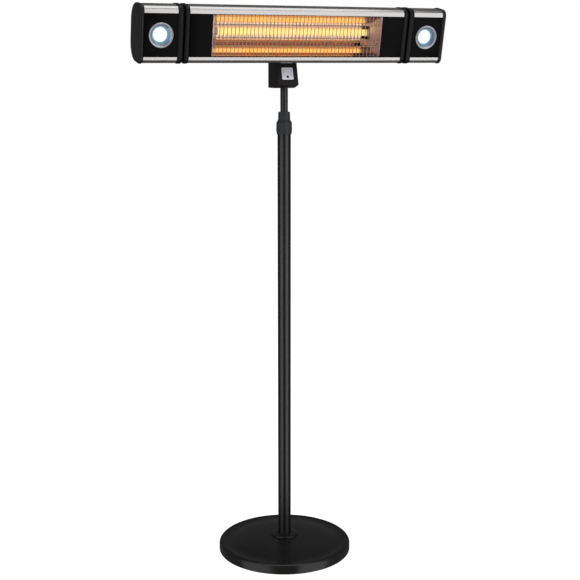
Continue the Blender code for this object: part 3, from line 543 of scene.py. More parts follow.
BLACK_PAINT = paint("black_paint", (0.0110, 0.0110, 0.0105), 0.27, specular=0.5)
TUBE_PAINT = paint("tube_paint", (0.0035, 0.0035, 0.0037), 0.34, specular=0.9, drawn=0.9)
BRACKET_PAINT = paint("bracket_paint", (0.012, 0.012, 0.0125), 0.42)
BOX_PLASTIC = plastic("box_plastic", (0.0120, 0.0098, 0.0098), 0.42, specular=0.22)
END_PLASTIC = plastic("end_plastic", (0.0075, 0.0075, 0.0078), 0.36, 0.12, specular=0.35)
RING_PLASTIC = plastic("ring_plastic", (0.0045, 0.0045, 0.0048), 0.34, 0.12, specular=0.22)
COLLAR_PLASTIC = plastic("collar_plastic", (0.026, 0.031, 0.035), 0.44, 0.12)
GUIDE_PLASTIC = plastic("guide_plastic", (0.10, 0.10, 0.105), 0.5)
RUBBER = plastic("rubber", (0.02, 0.02, 0.02), 0.85, 0.5, 500)
NYLON_WHITE = plastic("nylon_white", (0.70, 0.69, 0.65), 0.5)
BOARD = plastic("board_green", (0.02, 0.12, 0.05), 0.4)
IRON = steel("cast_iron", (0.12, 0.118, 0.115), 0.62)
PAN_STEEL = steel("pan_steel", (0.34, 0.34, 0.35), 0.42)
ZINC = steel("zinc_steel", (0.58, 0.58, 0.60), 0.30)
ALUMINIUM = brushed("brushed_aluminium", (0.63, 0.615, 0.61), 0.22)
WIRE_STEEL = steel("guard_wire_steel", (0.43, 0.30, 0.20), 0.32)
CERAMIC = plastic("ceramic", (0.78, 0.74, 0.66), 0.62, 0.3, 900)


def front_plate_finish():
    made = Finish("plate_black", (0.0030, 0.0030, 0.0034), 0.35, specular=0.07)
    made.mottle(5, 0.15).vary_roughness(12, 0.04).grain(1300, 0.09, 0.00005)
    return made.made


def reflector_finish():
    """Bright rolled aluminium, with tints by height that are painted reflections: they stand in for
    the lamp's bright bands and the darker zones seen in the trough.
    """
    made = Finish("reflector", (0.95, 0.66, 0.46), 0.08, metallic=1.0)
    made.mottle(30, 0.08, (1.0, 0.3, 0.3)).vary_roughness(50, 0.02)
    made.grain(900, 0.04, 0.00003, (0.02, 1.0, 1.0))
    level = made.node("ShaderNodeSeparateXYZ")
    made.link(made.place, level.inputs[0])
    rim = TROUGH[0][1]
    # Painted reflection: the tints below paint the lamp's reflected glow and the darker reflected
    # zones at fixed heights of the trough.
    untinted, pale, blush, dim = (1, 1, 1), (0.50, 0.60, 1.2), (0.78, 0.95, 1.9), (0.6, 0.6, 0.8)
    lower, shelf, upper = (0.28, 0.20, 0.28), (0.45, 0.34, 0.42), (0.50, 0.38, 0.45)
    bands = [(-rim, -0.0464, pale), (-0.0450, -0.0422, lower), (-0.0408, -0.0348, untinted),
             (-0.0336, -0.0200, shelf), (-0.0180, 0.0025, untinted), (0.0042, 0.0122, blush),
             (0.0132, 0.0160, dim), (0.0172, 0.0418, untinted), (0.0437, rim, upper)]
    marks = [(height, tint) for start, end, tint in bands for height in (start, end)]
    stops = [((height + rim) / (2 * rim), tint) for height, tint in marks]
    made.tinted(made.ramp(made.spread(level.outputs["Z"], 0.0, 1.0, -rim, rim), stops))
    return made.made


def end_wall_finish():
    made = Finish("reflector_end", (0.68, 0.58, 0.72), 0.38, metallic=1.0)
    return made.mottle(60, 0.15).vary_roughness(70, 0.06).grain(800, 0.15, 0.00005).made


def quartz_finish():
    made = Finish("quartz_gold", (0.35, 0.22, 0.08), 0.06, specular=0.6)
    made.set("Alpha", 0.6)
    made.grain(40, 0.05, 0.0003)
    return made.glow((1.0, 0.80, 0.31), 0.79).made


def filament_finish():
    made = Finish("filament_glow", (1.0, 0.7, 0.3), 0.5)
    heat = made.ramp(made.noise(18, stretch=(1, 0, 0)),
                     [(0.2, (1.0, 0.70, 0.22)), (0.8, (1.0, 0.82, 0.34))])
    made.link(heat, made.shader.inputs["Emission Color"])
    made.set("Emission Strength", 1.08)
    return made.made


def lens_finish():
    """Frosted lens, white in the middle and bluish at the rim, lit from behind."""
    made = Finish("spot_lens", (0.9, 0.95, 1.0), 0.16)
    reach = made.spread(made.radial(), 0.0, 1.0, 0.0, LENS_RADIUS)
    colour = made.ramp(reach, [(0.0, (1.0, 1.0, 0.97)), (0.74, (0.95, 0.99, 0.98)),
                               (0.88, (0.55, 0.74, 0.86)), (1.0, (0.26, 0.42, 0.56))])
    made.link(colour, made.shader.inputs["Emission Color"])
    made.set("Emission Strength", 1.0)
    made.grain(260, 0.25, 0.0003)
    return made.made


def bezel_finish():
    """Grey painted rim round a bluish, unevenly polished cone."""
    made = Finish("spot_bezel", (0.34, 0.35, 0.38), 0.30, metallic=0.6)
    reach = made.spread(made.radial(), 0.0, 1.0, 0.0, BEZEL_RADIUS)
    zones = made.ramp(reach, [(0.60, (0.26, 0.44, 0.62)), (0.70, (0.16, 0.25, 0.36)),
                              (0.76, (0.36, 0.39, 0.45)), (0.86, (0.72, 0.73, 0.78))])
    cloud = made.ramp(made.noise(420, 3.0), [(0.32, (0.60, 0.65, 0.70)), (0.66, (1.0, 1.0, 1.0))])
    made.link(zones, made.shader.inputs["Base Color"])
    made.tinted(cloud).vary_roughness(40, 0.05).grain(1200, 0.08, 0.00005)
    return made.made


def panel_finish():
    """Silver printed film with a fine weave of grain."""
    made = Finish("panel_film", (0.74, 0.75, 0.79), 0.30, metallic=0.7)
    made.mottle(55, 0.07).vary_roughness(80, 0.05).grain(2200, 0.10, 0.00004)
    return made.made


def print_finish():
    made = Finish("print_grey", (0.30, 0.31, 0.34), 0.4)
    return made.mottle(300, 0.1).grain(1500, 0.1, 0.00003).made


def indicator_finish():
    made = Finish("indicator_blue", (0.10, 0.22, 0.72), 0.18)
    made.mottle(200, 0.15).grain(900, 0.06, 0.00005)
    return made.glow((0.16, 0.34, 1.0), 0.5).made


PLATE_BLACK = front_plate_finish()
REFLECTOR = reflector_finish()
END_WALL = end_wall_finish()
QUARTZ = quartz_finish()
FILAMENT = filament_finish()
LENS = lens_finish()
BEZEL = bezel_finish()
PANEL = panel_finish()
PRINT_GREY = print_finish()
INDICATOR = indicator_finish()


# --- camera, floor and light ---
def make_camera():
    forward = Vector((-math.sin(CAMERA_AZIMUTH), math.cos(CAMERA_AZIMUTH), 0.0))
    right = Vector((forward.y, -forward.x, 0.0))
    made = linked("camera", bpy.data.cameras.new("camera"))
    made.location = -forward * CAMERA_DISTANCE + right * CAMERA_SIDESTEP
    made.location.z = CAMERA_HEIGHT
    made.rotation_euler = (math.pi / 2 - CAMERA_PITCH, 0.0, CAMERA_AZIMUTH)
    made.data.lens = CAMERA_LENS
    made.data.sensor_width = SENSOR_WIDTH
    bpy.context.scene.camera = made


def area_light(name, place, target, size, radiance):
    """Soft box of a given brightness that the camera does not see."""
    data = bpy.data.lights.new(name, "AREA")
    data.shape = "RECTANGLE"
    data.size, data.size_y = size
    data.energy = radiance * math.pi * size[0] * size[1]
    made = linked(name, data)
    made.location = place
    made.rotation_euler = (Vector(target) - Vector(place)).to_track_quat("-Z", "Y").to_euler()
    made.visible_camera = False


def side_light(name, bearing_deg, radiance):
    """Tall soft box at a bearing from the camera's side of the pole, positive to its right."""
    angle = CAMERA_AZIMUTH + math.radians(bearing_deg)
    distance, height = 2.6, 0.3
    place = (distance * math.sin(angle), -distance * math.cos(angle), height)
    area_light(name, place, (0.0, 0.0, height), (2.5, 7.0), radiance)


def make_studio():
    mesh = bpy.data.meshes.new("floor")
    corners = [(x * FLOOR_REACH, y * FLOOR_REACH, 0)
               for x, y in ((-1, -1), (1, -1), (1, 1), (-1, 1))]
    mesh.from_pydata(corners, [], [(0, 1, 2, 3)])
    finish = Finish("pale_floor", (0.80, 0.80, 0.80), 0.6, specular=0.2)
    finish.mottle(3, 0.01)
    seen = finish.node("ShaderNodeLightPath").outputs["Is Camera Ray"]
    finish.set("Emission Color", (1.0, 1.0, 1.0, 1.0))
    finish.link(seen, finish.shader.inputs["Emission Strength"])
    mesh.materials.append(finish.made)
    floor = linked("floor", mesh)
    floor.visible_glossy = False
    floor.visible_shadow = False

    world = bpy.data.worlds.new("studio")
    world.use_nodes = True
    tree = world.node_tree
    back = tree.nodes["Background"]
    back.inputs["Color"].default_value = (1.0, 1.0, 1.0, 1.0)
    seen = tree.nodes.new("ShaderNodeLightPath").outputs["Is Camera Ray"]
    level = tree.nodes.new("ShaderNodeMapRange")
    level.inputs["To Min"].default_value = ROOM_LIGHT
    level.inputs["To Max"].default_value = 1.0
    tree.links.new(seen, level.inputs["Value"])
    tree.links.new(level.outputs["Result"], back.inputs["Strength"])
    bpy.context.scene.world = world
    bpy.context.scene.view_settings.view_transform = "Standard"

    side_light("soft_box_left", -48, 0.82)
    side_light("soft_box_right", 50, 1.0)
    area_light("soft_box_top", (0.0, -0.3, 3.4), (0.0, 0.0, 0.8), (2.6, 2.2), 1.2)


# --- foot and pole ---
def make_foot():
    low, high = span("base_cover")
    radius, top = high.x, high.z
    rim = 0.0275
    dome = smooth_path([(POLE_RADIUS + 0.0006, top), (0.030, top - 0.0001), (0.060, top - 0.0013),
                        (0.090, top - 0.0040), (0.120, top - 0.0088), (0.138, rim - 0.0003),
                        (0.149, rim - 0.0013), (0.157, rim - 0.0009), (0.163, rim)], 6)
    outer = dome[:-1] + arc(radius - COVER_EDGE, rim - COVER_EDGE, COVER_EDGE, 100, 0, 12)
    outer += [(radius, 0.010)] + arc(radius - 0.003, low.z + 0.003, 0.003, 0, -80, 5)
    inner = offset_path(outer, -COVER_SHEET)[::-1]
    turned("foot_cover", "base_cover", outer + inner, BLACK_PAINT, "stand", steps=192)

    low, high = span("pole_flange")
    bore = POLE_RADIUS + 0.0005
    profile = rounded([(bore, low.z, 0), (high.x, low.z, 0.0008),
                       (high.x - 0.001, low.z + 0.0024, 0.0012),
                       (0.0290, high.z - 0.0010, 0.004), (0.0215, high.z, 0.002),
                       (0.0195, high.z + 0.0002, 0.0006), (bore, high.z, 0.0)])
    turned("foot_flange", "pole_flange", profile, BLACK_PAINT, "stand", steps=128)

    low, high = span("base_pan")
    bore = 0.016
    profile = rounded([(bore, low.z, 0.0003), (high.x, low.z, 0.0004), (high.x, high.z, 0.0004),
                       (bore, high.z, 0.0003)], steps=2)
    turned("foot_pan", "base_pan", profile, PAN_STEEL, "stand", steps=128)

    for number in range(1, 5):
        low, high = span(f"rubber_foot_{number}")
        middle = (low + high) / 2
        reach = (high.x - low.x) / 2
        rounding = rounded([(reach, high.z, 0.0003), (reach - 0.001, 0, 0.0006)], False)
        profile = [(0.0, high.z)] + rounding + [(0.004, 0.0), (0.0032, 0.0009), (0.0, 0.0009)]
        turned(f"foot_pad_{number}", f"rubber_foot_{number}", profile, RUBBER, "stand",
               shift(middle.x, middle.y, 0.0), 48)


def even_column(start, end, levels=5):
    """Points at even steps from one point to another, both included."""
    return [tuple(Vector(start).lerp(Vector(end), i / (levels - 1))) for i in range(levels)]


def make_pole():
    edge = 0.0003
    for name, node, body, steps in (("lower_pole", "outer_tube", "stand", 96),
                                    ("upper_pole", "inner_tube", "mast", 80)):
        low, high = span(node)
        inside = high.x - TUBE_WALL
        profile = rounded([(high.x, high.z, edge), (high.x, low.z, edge), (inside, low.z, edge),
                           (inside, high.z, edge)], steps=2)
        turned(name, node, profile, TUBE_PAINT, body, steps=steps)

    low, high = span("clamp_collar")
    grip = high.x
    grip_low, grip_high, neck_low = low.z + 0.0070, low.z + 0.0301, low.z + 0.0355
    neck = 0.0152

    def fluted(radius, height, angle):
        wave = (0.5 - 0.5 * math.cos(COLLAR_FLUTES * angle)) ** 3
        if radius > grip - 0.0009 and grip_low < height < grip_high:
            return radius - 0.0009 * wave
        if neck_low + 0.001 < height < high.z - 0.002 and radius > neck - 0.0012:
            return radius - 0.0005 * wave
        return radius

    outer = [(neck - 0.0010, high.z), (neck - 0.0006, high.z - 0.0005)]
    outer += even_column((neck - 0.0006, high.z - 0.0015), (neck, neck_low + 0.0006))
    outer += [(neck + 0.0004, neck_low), (grip - 0.0018, grip_high + 0.0012),
              (grip - 0.0008, grip_high + 0.0002)]
    outer += even_column((grip - 0.0003, grip_high - 0.0010), (grip, grip_low + 0.0010))
    outer += [(grip - 0.0006, grip_low - 0.0004), (grip - 0.0012, low.z + 0.0008),
              (grip - 0.0015, low.z)]
    skirt, thread, seat, throat = POLE_RADIUS + 0.0003, 0.0138, 0.0120, 0.0098
    inner = [(skirt, low.z), (skirt, low.z + 0.0087), (thread, low.z + 0.0087),
             (thread, 1.1332), (seat, 1.1332), (seat, high.z - 0.0024),
             (throat, high.z - 0.0024), (throat, high.z)]
    turned("twist_collar", "clamp_collar", outer + inner, COLLAR_PLASTIC, "collar", steps=256,
           wave=fluted)

    low, high = span("mast_cuff")
    profile = rounded([(high.x, high.z, 0.0004), (high.x, low.z, 0.0006),
                       (throat, low.z, 0.0003), (throat, high.z, 0.0003)], steps=4)
    turned("pole_cuff", "mast_cuff", profile, BOX_PLASTIC, "mast", steps=80)


# --- control box ---
def make_box():
    front_low, front_high = span("box_front")
    half = front_high.x
    bottom, top = front_low.z, front_high.z
    back = span("box_rear")[1].y
    seam = front_high.y
    front_bottom, front_top = -0.0308, -0.0137
    rise = 0.0075
    lean = math.atan2(front_top - front_bottom, top - bottom)
    toe = front_bottom + math.tan(lean) * rise

    def outline(inset):
        return rounded([(back - inset, bottom + inset, 0.003 - inset),
                        (back - inset, top - inset, 0.005 - inset),
                        (front_top + inset, top - inset, 0.006 - inset),
                        (toe + inset, bottom + rise + inset, 0.003 - inset),
                        (-0.004, bottom + inset, 0.012 - inset)], steps=8)

    panel_y = front_bottom + math.tan(lean) * (PANEL_HEIGHT - bottom)
    face = shift(0.0, panel_y, PANEL_HEIGHT) @ Matrix.Rotation(-lean, 4, "X")
    forward = face @ QUARTER_X
    button = forward @ shift(0, -BUTTON_DROP, 0)

    solid = prism(outline(0.0), -half, half, 0.003, 6)
    cavity = prism(outline(BOX_WALL), -half + BOX_WALL, half - BOX_WALL)
    seat = rounded_plate(PANEL_HALF + SHEET_GAP, -0.01, 0.0004, 0.0033)
    seat.transform(face)
    hole = cylinder(BUTTON_HOLE, -0.006, 0.006, button)
    cuff = cylinder(0.0098, bottom - 0.01, bottom + 0.010)
    stem = cylinder(0.0088, top - 0.006, top + 0.01)
    behind_seam = block((-0.1, seam, 1.1), (0.1, 0.1, 1.4), 0.0)
    new_piece("control_box", "box_front",
              cut(solid, behind_seam, cavity, seat, hole, cuff, stem), BOX_PLASTIC, "mast")

    gland_low, gland_high = span("cable_gland")
    gland = shift(0.0, back, (gland_low.z + gland_high.z) / 2) @ QUARTER_X.inverted()
    cuts = [block((-0.1, -0.1, 1.1), (0.1, seam + SHEET_GAP, 1.4), 0.0), cavity,
            cylinder(0.0063, -0.01, 0.01, gland)]
    for x, up, place in CORNERS:
        level = (bottom + top) / 2 + up * ((top - bottom) / 2 - 0.009)
        spot = shift(x * (half - 0.0085), back, level)
        cuts.append(cylinder(0.0033, -0.01, 0.0016, spot @ QUARTER_X))
        screw(f"cover_screw_{place}", spot @ QUARTER_X.inverted() @ shift(0, 0, -0.0014), "mast")
    for i in range(5):
        level = top - 0.018 - i * 0.0042
        vent = [(-0.011, back, level), (0.011, back, level)]
        cuts.append(tubes([vent], 0.0008, 12))
    new_piece("control_box_cover", "box_rear", cut(solid, *cuts), BOX_PLASTIC, "mast")

    profile = rounded([(0.0042, 0.010, 0.0004), (0.0060, 0.010, 0.0008), (0.0072, 0.0066, 0.001),
                       (0.0080, 0.0062, 0.0004), (0.0080, 0.0003, 0.0003), (0.0060, 0.0003, 0),
                       (0.0060, -0.005, 0.0003), (0.0042, -0.005, 0.0003)], steps=4)

    def gripped(radius, height, angle):
        if radius > 0.0074 and height > 0.0:
            return radius - 0.0003 * (0.5 + 0.5 * math.cos(18 * angle))
        return radius

    turned("lead_gland", "cable_gland", profile, END_PLASTIC, "mast", gland, 144, wave=gripped)

    thick_low, thick_high = span("control_panel", face)
    plate = rounded_plate(PANEL_HALF, thick_low.y, thick_high.y, 0.0030)
    hole = cylinder(BUTTON_HOLE, -0.006, 0.006, QUARTER_X @ shift(0, -BUTTON_DROP, 0))
    new_piece("panel_plate", "control_panel", cut(plate, hole), PANEL, "mast", face)
    printed_marks(face, thick_low.y)

    for name, side in SIDES:
        profile = [(0.0, 0.00125), (0.0009, 0.00115), (0.0013, 0.00085), (0.0014, 0.0005),
                   (0.0014, -0.0001), (0.0, -0.0001)]
        turned(f"blue_light_{name}", f"indicator_{name}", profile, INDICATOR, "mast",
               forward @ shift(side * LIGHT_SPREAD, 0.0088, 0.0), 40, False)

    profile = [(0.0, 0.0014), (0.0012, 0.00145), (0.0022, 0.00165), (0.0026, 0.0018),
               (0.0029, 0.0016), (0.0030, 0.0012), (0.0030, -0.0018), (0.0, -0.0018)]
    turned("push_button", "power_button", profile, END_PLASTIC, "button", button, 56, False)


def rounded_plate(half, front, rear, radius):
    """Square plate in the XZ plane with round corners."""
    corners = [(half, -half, radius), (half, half, radius), (-half, half, radius),
               (-half, -half, radius)]
    work = bmesh.new()
    extrude(work, [(x, front, z) for x, z in rounded(corners, steps=8)], (0, rear - front, 0))
    return mesh_from(work)


def printed_marks(face, front):
    """Plain marks on the panel: a bar under each light and an arc at each side of the button."""
    marks = []
    for side in (-1, 1):
        x = side * LIGHT_SPREAD
        marks.append(block((x - 0.0016, front - 0.00006, 0.0055),
                           (x + 0.0016, front + 0.00002, 0.0061), 0.0))
        turns = [math.radians(-40 + 10 * i) for i in range(9)]
        path = [(x * math.cos(turn), front, -0.0045 + 0.0088 * math.sin(turn)) for turn in turns]
        marks.append(tubes([path], 0.00045, 6))
    for i, mesh in enumerate(marks):
        new_piece(f"panel_mark_{i + 1}", None, mesh, PRINT_GREY, "mast", face)


def screw(name, space, body, radius=SCREW_RADIUS):
    """Pan-head screw with a cross recess, its head along +Z of the frame."""
    profile = [(0.0, 0.0016), (radius * 0.5, 0.0015), (radius * 0.85, 0.0010), (radius, 0.0003),
               (radius, 0.0), (0.0, 0.0)]
    bar, slit = radius * 0.62, 0.0004
    cross = [block((-x, -y, 0.0008), (x, y, 0.003), 0.0) for x, y in ((bar, slit), (slit, bar))]
    new_piece(name, None, cut(lathe(profile, 40, False), *cross), ZINC, body, space)


# --- tilt joint ---
def make_tilt_joint():
    y, z = PIVOT.y, PIVOT.z
    foot = span("box_front")[1].z + SHEET_GAP
    ear_low, ear_high = span("tilt_yoke")
    outer = ear_high.x
    inner = outer - 0.003
    lug = 0.011
    outline = arc(y, z, lug, -18, 198, 24)
    outline += rounded([(y - 0.0125, foot + 0.003, 0), (y - 0.013, foot, 0.0008),
                        (y + 0.013, foot, 0.0008), (y + 0.0125, foot + 0.003, 0)], False, 3)
    gap = block((-inner, -0.05, foot + 0.003), (inner, 0.05, 1.4), 0.0008, 3)
    turn = Matrix.Translation(PIVOT) @ QUARTER_Y
    hole = cylinder(BOLT_HOLE, -0.05, 0.05, turn)
    mesh = cut(prism(outline, -outer, outer, 0.0009, 3), gap, hole)
    mesh = joined(mesh, cylinder(0.0080, ear_low.z, foot + 0.001))
    new_piece("yoke", "tilt_yoke", mesh, BRACKET_PAINT, "mast")

    low, high = span("pivot_bolt")
    shank = cylinder(0.004, low.x - PIVOT.x + 0.002, high.x - PIVOT.x, turn, 40)
    seat = turn @ shift(0, 0, -outer - SHEET_GAP)
    head = lathe([(0.0, -0.0030), (0.0052, -0.0030), (0.0068, -0.0024), (0.0068, 0.0),
                  (0.0, 0.0)], 6, False)
    washer = lathe([(0.0075, 0.0), (0.0075, -0.0009), (0.0, -0.0009), (0.0, 0.0)], 48, False)
    head.transform(seat)
    washer.transform(seat)
    new_piece("pivot_screw", "pivot_bolt", joined(shank, head, washer), ZINC, "mast")

    low, high = span("tilt_knob")
    start, end = low.x, high.x
    reach = 0.016
    profile = [(BOLT_HOLE, start), (0.0078, start), (0.0084, start + 0.0004),
               (0.0088, start + 0.0030), (reach - 0.0010, start + 0.0036),
               (reach, start + 0.0048), (reach, end - 0.0026), (reach - 0.0008, end - 0.0010),
               (reach - 0.0024, end - 0.0002), (0.0075, end), (0.0068, end - 0.0008),
               (BOLT_HOLE, end - 0.0008)]

    def lobed(radius, height, angle):
        if radius < 0.0095:
            return radius
        return radius * (0.93 + 0.07 * math.cos(5 * angle))

    turned("lock_knob", "tilt_knob", profile, END_PLASTIC, "knob", turn, 160, wave=lobed)

    tilt = Matrix.Translation(PIVOT) @ Matrix.Rotation(REST_TILT, 4, "X")
    offset = tilt.inverted() @ HEAD.translation
    rear = offset.y + HALF_DEPTH + SHEET_GAP
    level = offset.z
    eye = 0.010
    low, high = span("head_bracket", tilt)
    outline = [(rear, level - 0.022), (rear + 0.006, level - 0.026), (-eye * 0.94, eye * 0.7)]
    outline += arc(0, 0, eye, 170, 395, 24)
    outline += [(rear + 0.012, level - 0.020), (rear + 0.004, level + 0.022),
                (rear, level + 0.022)]
    half = inner - SHEET_GAP
    mesh = cut(prism(outline, -half, half, 0.0009, 3),
               cylinder(BOLT_HOLE, -0.05, 0.05, QUARTER_Y))
    pad = block((low.x, rear, level - 0.021), (high.x, rear + 0.003, level + 0.021), 0.0012, 3)
    new_piece("hanger", "head_bracket", joined(mesh, pad), BRACKET_PAINT, "head", tilt)
    for x, up, place in CORNERS:
        spot = shift(x * 0.0235, rear + 0.003, level + up * 0.014)
        screw(f"hanger_screw_{place}", tilt @ spot @ QUARTER_X.inverted(), "head", 0.0034)


# --- heater head ---
def channel_outline():
    """Extruded profile with fine grooves on the top, bottom and back."""
    front = -HALF_DEPTH
    outer = refined([(front, -LIP)] + section() + [(front, LIP)], 0.0007)
    places = [(y, sign * HALF_HEIGHT) for sign in (-1, 1) for y in (-0.010, -0.016)]
    places += [(HALF_DEPTH, i * 0.0056) for i in range(-3, 4)]
    inside = front + CHANNEL_WALL
    inner = [(inside, LIP)] + section(CHANNEL_WALL)[::-1] + [(inside, -LIP)]
    return grooved(outer, places, 0.0005, 0.0011) + inner


def make_shells():
    outline = channel_outline()
    for name, node, body in (("heater_housing", "heater_shell", "head"),
                             ("lamp_housing_left", "spot_shell_left", "spot_left"),
                             ("lamp_housing_right", "spot_shell_right", "spot_right")):
        low, high = span(node, HEAD)
        new_piece(name, node, prism(outline, low.x, high.x), ALUMINIUM, body, HEAD)


def reach_x(node):
    """Nearest and farthest distance of a CAD node from the middle of the head."""
    low, high = span(node, HEAD)
    return sorted((abs(low.x), abs(high.x)))


def make_rings():
    for name, side in SIDES:
        spot = f"spot_{name}"
        near, far = reach_x(f"end_ring_{name}")
        middle = (near + far) / 2
        mesh = prism(section(-RING_PROUD), *side_span(side, near, far), 0.0026, 6)
        bore = cylinder(0.0123, *side_span(side, near - 0.02, far + 0.02), QUARTER_Y)
        pocket = prism(section(0.004), *side_span(side, middle - 0.02, middle + 0.0015))
        new_piece(f"joint_ring_{name}", f"end_ring_{name}", cut(mesh, bore, pocket),
                  RING_PLASTIC, "head", HEAD)

        near, far = reach_x(f"spot_ring_{name}")
        inner = far - 0.0125
        mesh = prism(section(-RING_PROUD), *side_span(side, inner, far), 0.0026, 6)
        mesh = cut(mesh, prism(section(0.004), *side_span(side, far - 0.008, far + 0.01)))
        neck = prism(section(0.006), *side_span(side, inner - 0.0052, inner + 0.003), 0.0006, 2)
        spigot = cylinder(0.012, *side_span(side, near, inner - 0.002), QUARTER_Y)
        bore = cylinder(0.009, *side_span(side, inner - 0.03, far + 0.01), QUARTER_Y)
        new_piece(f"module_ring_{name}", f"spot_ring_{name}",
                  cut(joined(mesh, neck, spigot), bore), RING_PLASTIC, spot, HEAD)

        near, far = reach_x(f"end_cap_{name}")
        mesh = prism(section(-RING_PROUD, 12, 24), *side_span(side, near, far), 0.0036, 8)
        hollow = prism(section(0.003), *side_span(side, near - 0.01, near + 0.0068))
        new_piece(f"outer_cap_{name}", f"end_cap_{name}", cut(mesh, hollow), END_PLASTIC, spot,
                  HEAD)


def make_plates():
    for name, _ in SIDES:
        mesh = block(*span(f"front_plate_{name}", HEAD), 0.0004, 2)
        new_piece(f"black_plate_{name}", f"front_plate_{name}", mesh, PLATE_BLACK, "head", HEAD)
        low, high = span(f"spot_plate_{name}", HEAD)
        bezel_low, bezel_high = span(f"spot_bezel_{name}", HEAD)
        facing = shift((bezel_low.x + bezel_high.x) / 2, low.y, 0.0) @ QUARTER_X
        mesh = cut(block(low, high, 0.0004, 2), cylinder(0.0275, -0.01, 0.01, facing, 96))
        new_piece(f"lamp_plate_{name}", f"spot_plate_{name}", mesh, PLATE_BLACK,
                  f"spot_{name}", HEAD)
        make_spot(name, HEAD @ facing)


def make_spot(name, space):
    """Bezel and lens of a spot, with +Z of the frame pointing out of the plate."""
    body = f"spot_{name}"
    cone_foot, throat, flange, back = 0.0175, 0.0153, 0.0272, -0.0130
    profile = rounded([(BEZEL_RADIUS, 0.0002, 0.0), (BEZEL_RADIUS, 0.0014, 0.0008),
                       (0.0276, 0.0022, 0.0010), (0.0257, 0.0015, 0.0010),
                       (SPOT_MOUTH, -0.0016, 0.0006), (cone_foot, -LENS_DEPTH, 0.0002),
                       (cone_foot, -0.0104, 0.0002), (throat, -0.0104, 0.0002),
                       (throat, back, 0.0003), (flange, back, 0.0005), (flange, 0.0002, 0.0)],
                      steps=5)
    turned(f"bezel_{name}", f"spot_bezel_{name}", profile, BEZEL, body, space, 128)

    edge = LENS_RADIUS - 0.0002
    rings = 21
    dome = []
    for i in range(rings + 1):
        radius = edge * i / rings
        fall = LENS_CROWN * (radius / edge) ** 2
        ripple = 0.00012 * math.cos(radius * 2 * math.pi / 0.0026)
        dome.append((radius, LENS_CROWN - LENS_DEPTH - fall + ripple * min(1.0, radius / 0.004)))
    profile = dome + [(LENS_RADIUS, -LENS_DEPTH - 0.0002), (LENS_RADIUS, -0.0102),
                      (0.0, -0.0102)]
    turned(f"lens_{name}", f"spot_lens_{name}", profile, LENS, body, space, 96, False)


def make_reflector():
    """Rolled trough with creases, and a wall with a lamp slot at each end."""
    half = span("reflector", HEAD)[1].x
    corners = [(y, z, 0.0015) for y, z in TROUGH]
    path = refined(rounded(corners, False, 5), 0.004)
    sheet = path + offset_path(path, -0.0006)[::-1]
    new_piece("reflector_trough", "reflector", prism(sheet, -half, half), REFLECTOR, "head",
              HEAD, angle=50)
    lamp_low, lamp_high = span("lamp_tube", HEAD)
    front = TROUGH[0][0]
    for name, side in SIDES:
        wall = prism(TROUGH, *side_span(side, half - 0.0012, half - 0.0004))
        notch = block((-1.0, lamp_low.y - 0.002, lamp_low.z - NOTCH_RISE),
                      (1.0, 0.05, lamp_high.z + NOTCH_RISE), 0.0)
        wall = cut(wall, notch)
        for vertex in wall.vertices:
            vertex.co.x -= side * WALL_SPLAY * (vertex.co.y - front)
        new_piece(f"reflector_wall_{name}", None, wall, END_WALL, "head", HEAD)


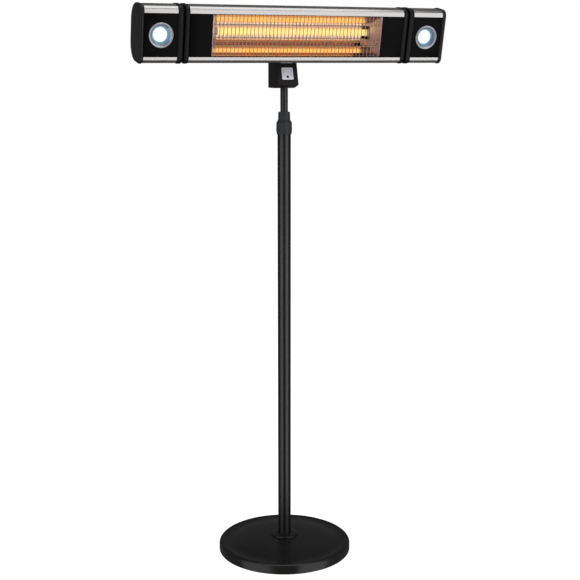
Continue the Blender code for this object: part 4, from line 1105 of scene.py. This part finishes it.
def make_lamp():
    low, high = span("lamp_tube", HEAD)
    centre = (low + high) / 2
    radius = (high.z - low.z) / 2
    inside = radius - 0.001
    half = high.x
    core = HEAD @ Matrix.Translation(centre)
    space = core @ QUARTER_Y
    profile = rounded([(radius, half, 0.0004), (radius, -half, 0.0004),
                       (inside, -half, 0.0003), (inside, half, 0.0003)], steps=3)
    turned("quartz_tube", "lamp_tube", profile, QUARTZ, "head", space, 64)

    reach = span("filament", HEAD)[1].x
    coil_radius, coil_pitch, per_turn = 0.0046, 0.0034, 12
    count = int(reach * 2 / coil_pitch) * per_turn
    coil = []
    for i in range(count + 1):
        angle = 2 * math.pi * i / per_turn
        coil.append((-reach + 2 * reach * i / count, coil_radius * math.cos(angle),
                     coil_radius * math.sin(angle)))
    new_piece("heating_coil", "filament", tubes([coil], 0.00095, 6), FILAMENT, "head", core)

    for name, side in SIDES:
        low, high = span(f"lamp_cap_{name}", HEAD)
        near, far = reach_x(f"lamp_cap_{name}")
        wide = (high.z - low.z) / 2
        narrow = wide - 0.0014
        profile = rounded([(0.0, near, 0), (wide, near, 0.0008), (wide, near + 0.012, 0.0006),
                           (narrow, near + 0.0134, 0.0004), (narrow, far, 0.0008),
                           (0.0, far, 0)], False, 4)
        outward = space @ Matrix.Rotation(0.0 if side > 0 else math.pi, 4, "X")
        turned(f"ceramic_cap_{name}", f"lamp_cap_{name}", profile, CERAMIC, "head", outward, 48,
               False)


def make_guard():
    """Round upright wires with their ends bent in, welded to cross wires behind them."""
    low, high = span("wire_guard", HEAD)
    front = low.y + WIRE_RADIUS
    half_width = high.x - WIRE_RADIUS
    half_height = high.z - WIRE_RADIUS
    count = int((half_width - 0.002) / WIRE_PITCH)
    uprights = []
    for x in [i * WIRE_PITCH for i in range(-count, count + 1)]:
        path = [(x, front + GUARD_BEND * 1.6, -half_height)]
        for step in range(5):
            angle = math.pi / 2 * step / 4
            path.append((x, front + GUARD_BEND * (1 - math.sin(angle)),
                         -half_height + GUARD_BEND * (1 - math.cos(angle)) * 0.6))
        uprights.append(path + [(x, y, -z) for _, y, z in reversed(path)])
    new_piece("guard_uprights", "wire_guard", tubes(uprights, WIRE_RADIUS), WIRE_STEEL, "head",
              HEAD)
    behind = front + 2 * WIRE_RADIUS * 0.92
    cross = [[(-half_width, behind, level), (half_width, behind, level)]
             for level in CROSS_LEVELS]
    new_piece("guard_cross_wires", None, tubes(cross, WIRE_RADIUS), WIRE_STEEL, "head", HEAD)


# --- CAD nodes that stay ---
KEPT = {
    "ballast_plate": IRON, "pole_bolt": ZINC, "pole_insert": ZINC, "tube_ferrule": GUIDE_PLASTIC,
    "split_collet": GUIDE_PLASTIC, "mast_glide": GUIDE_PLASTIC, "control_board": BOARD,
    "terminal_block": NYLON_WHITE, "tip_switch": BOX_PLASTIC, "led_driver": NYLON_WHITE,
    "spot_board_left": BOARD, "spot_board_right": BOARD, "lamp_clip_left": ZINC,
    "lamp_clip_right": ZINC,
}


def dress_kept_nodes():
    for name, finish in KEPT.items():
        for holder in nodes[name].material_slots:
            holder.material = finish


make_camera()
make_studio()
make_foot()
make_pole()
make_box()
make_tilt_joint()
make_shells()
make_rings()
make_plates()
make_reflector()
make_lamp()
make_guard()
dress_kept_nodes()
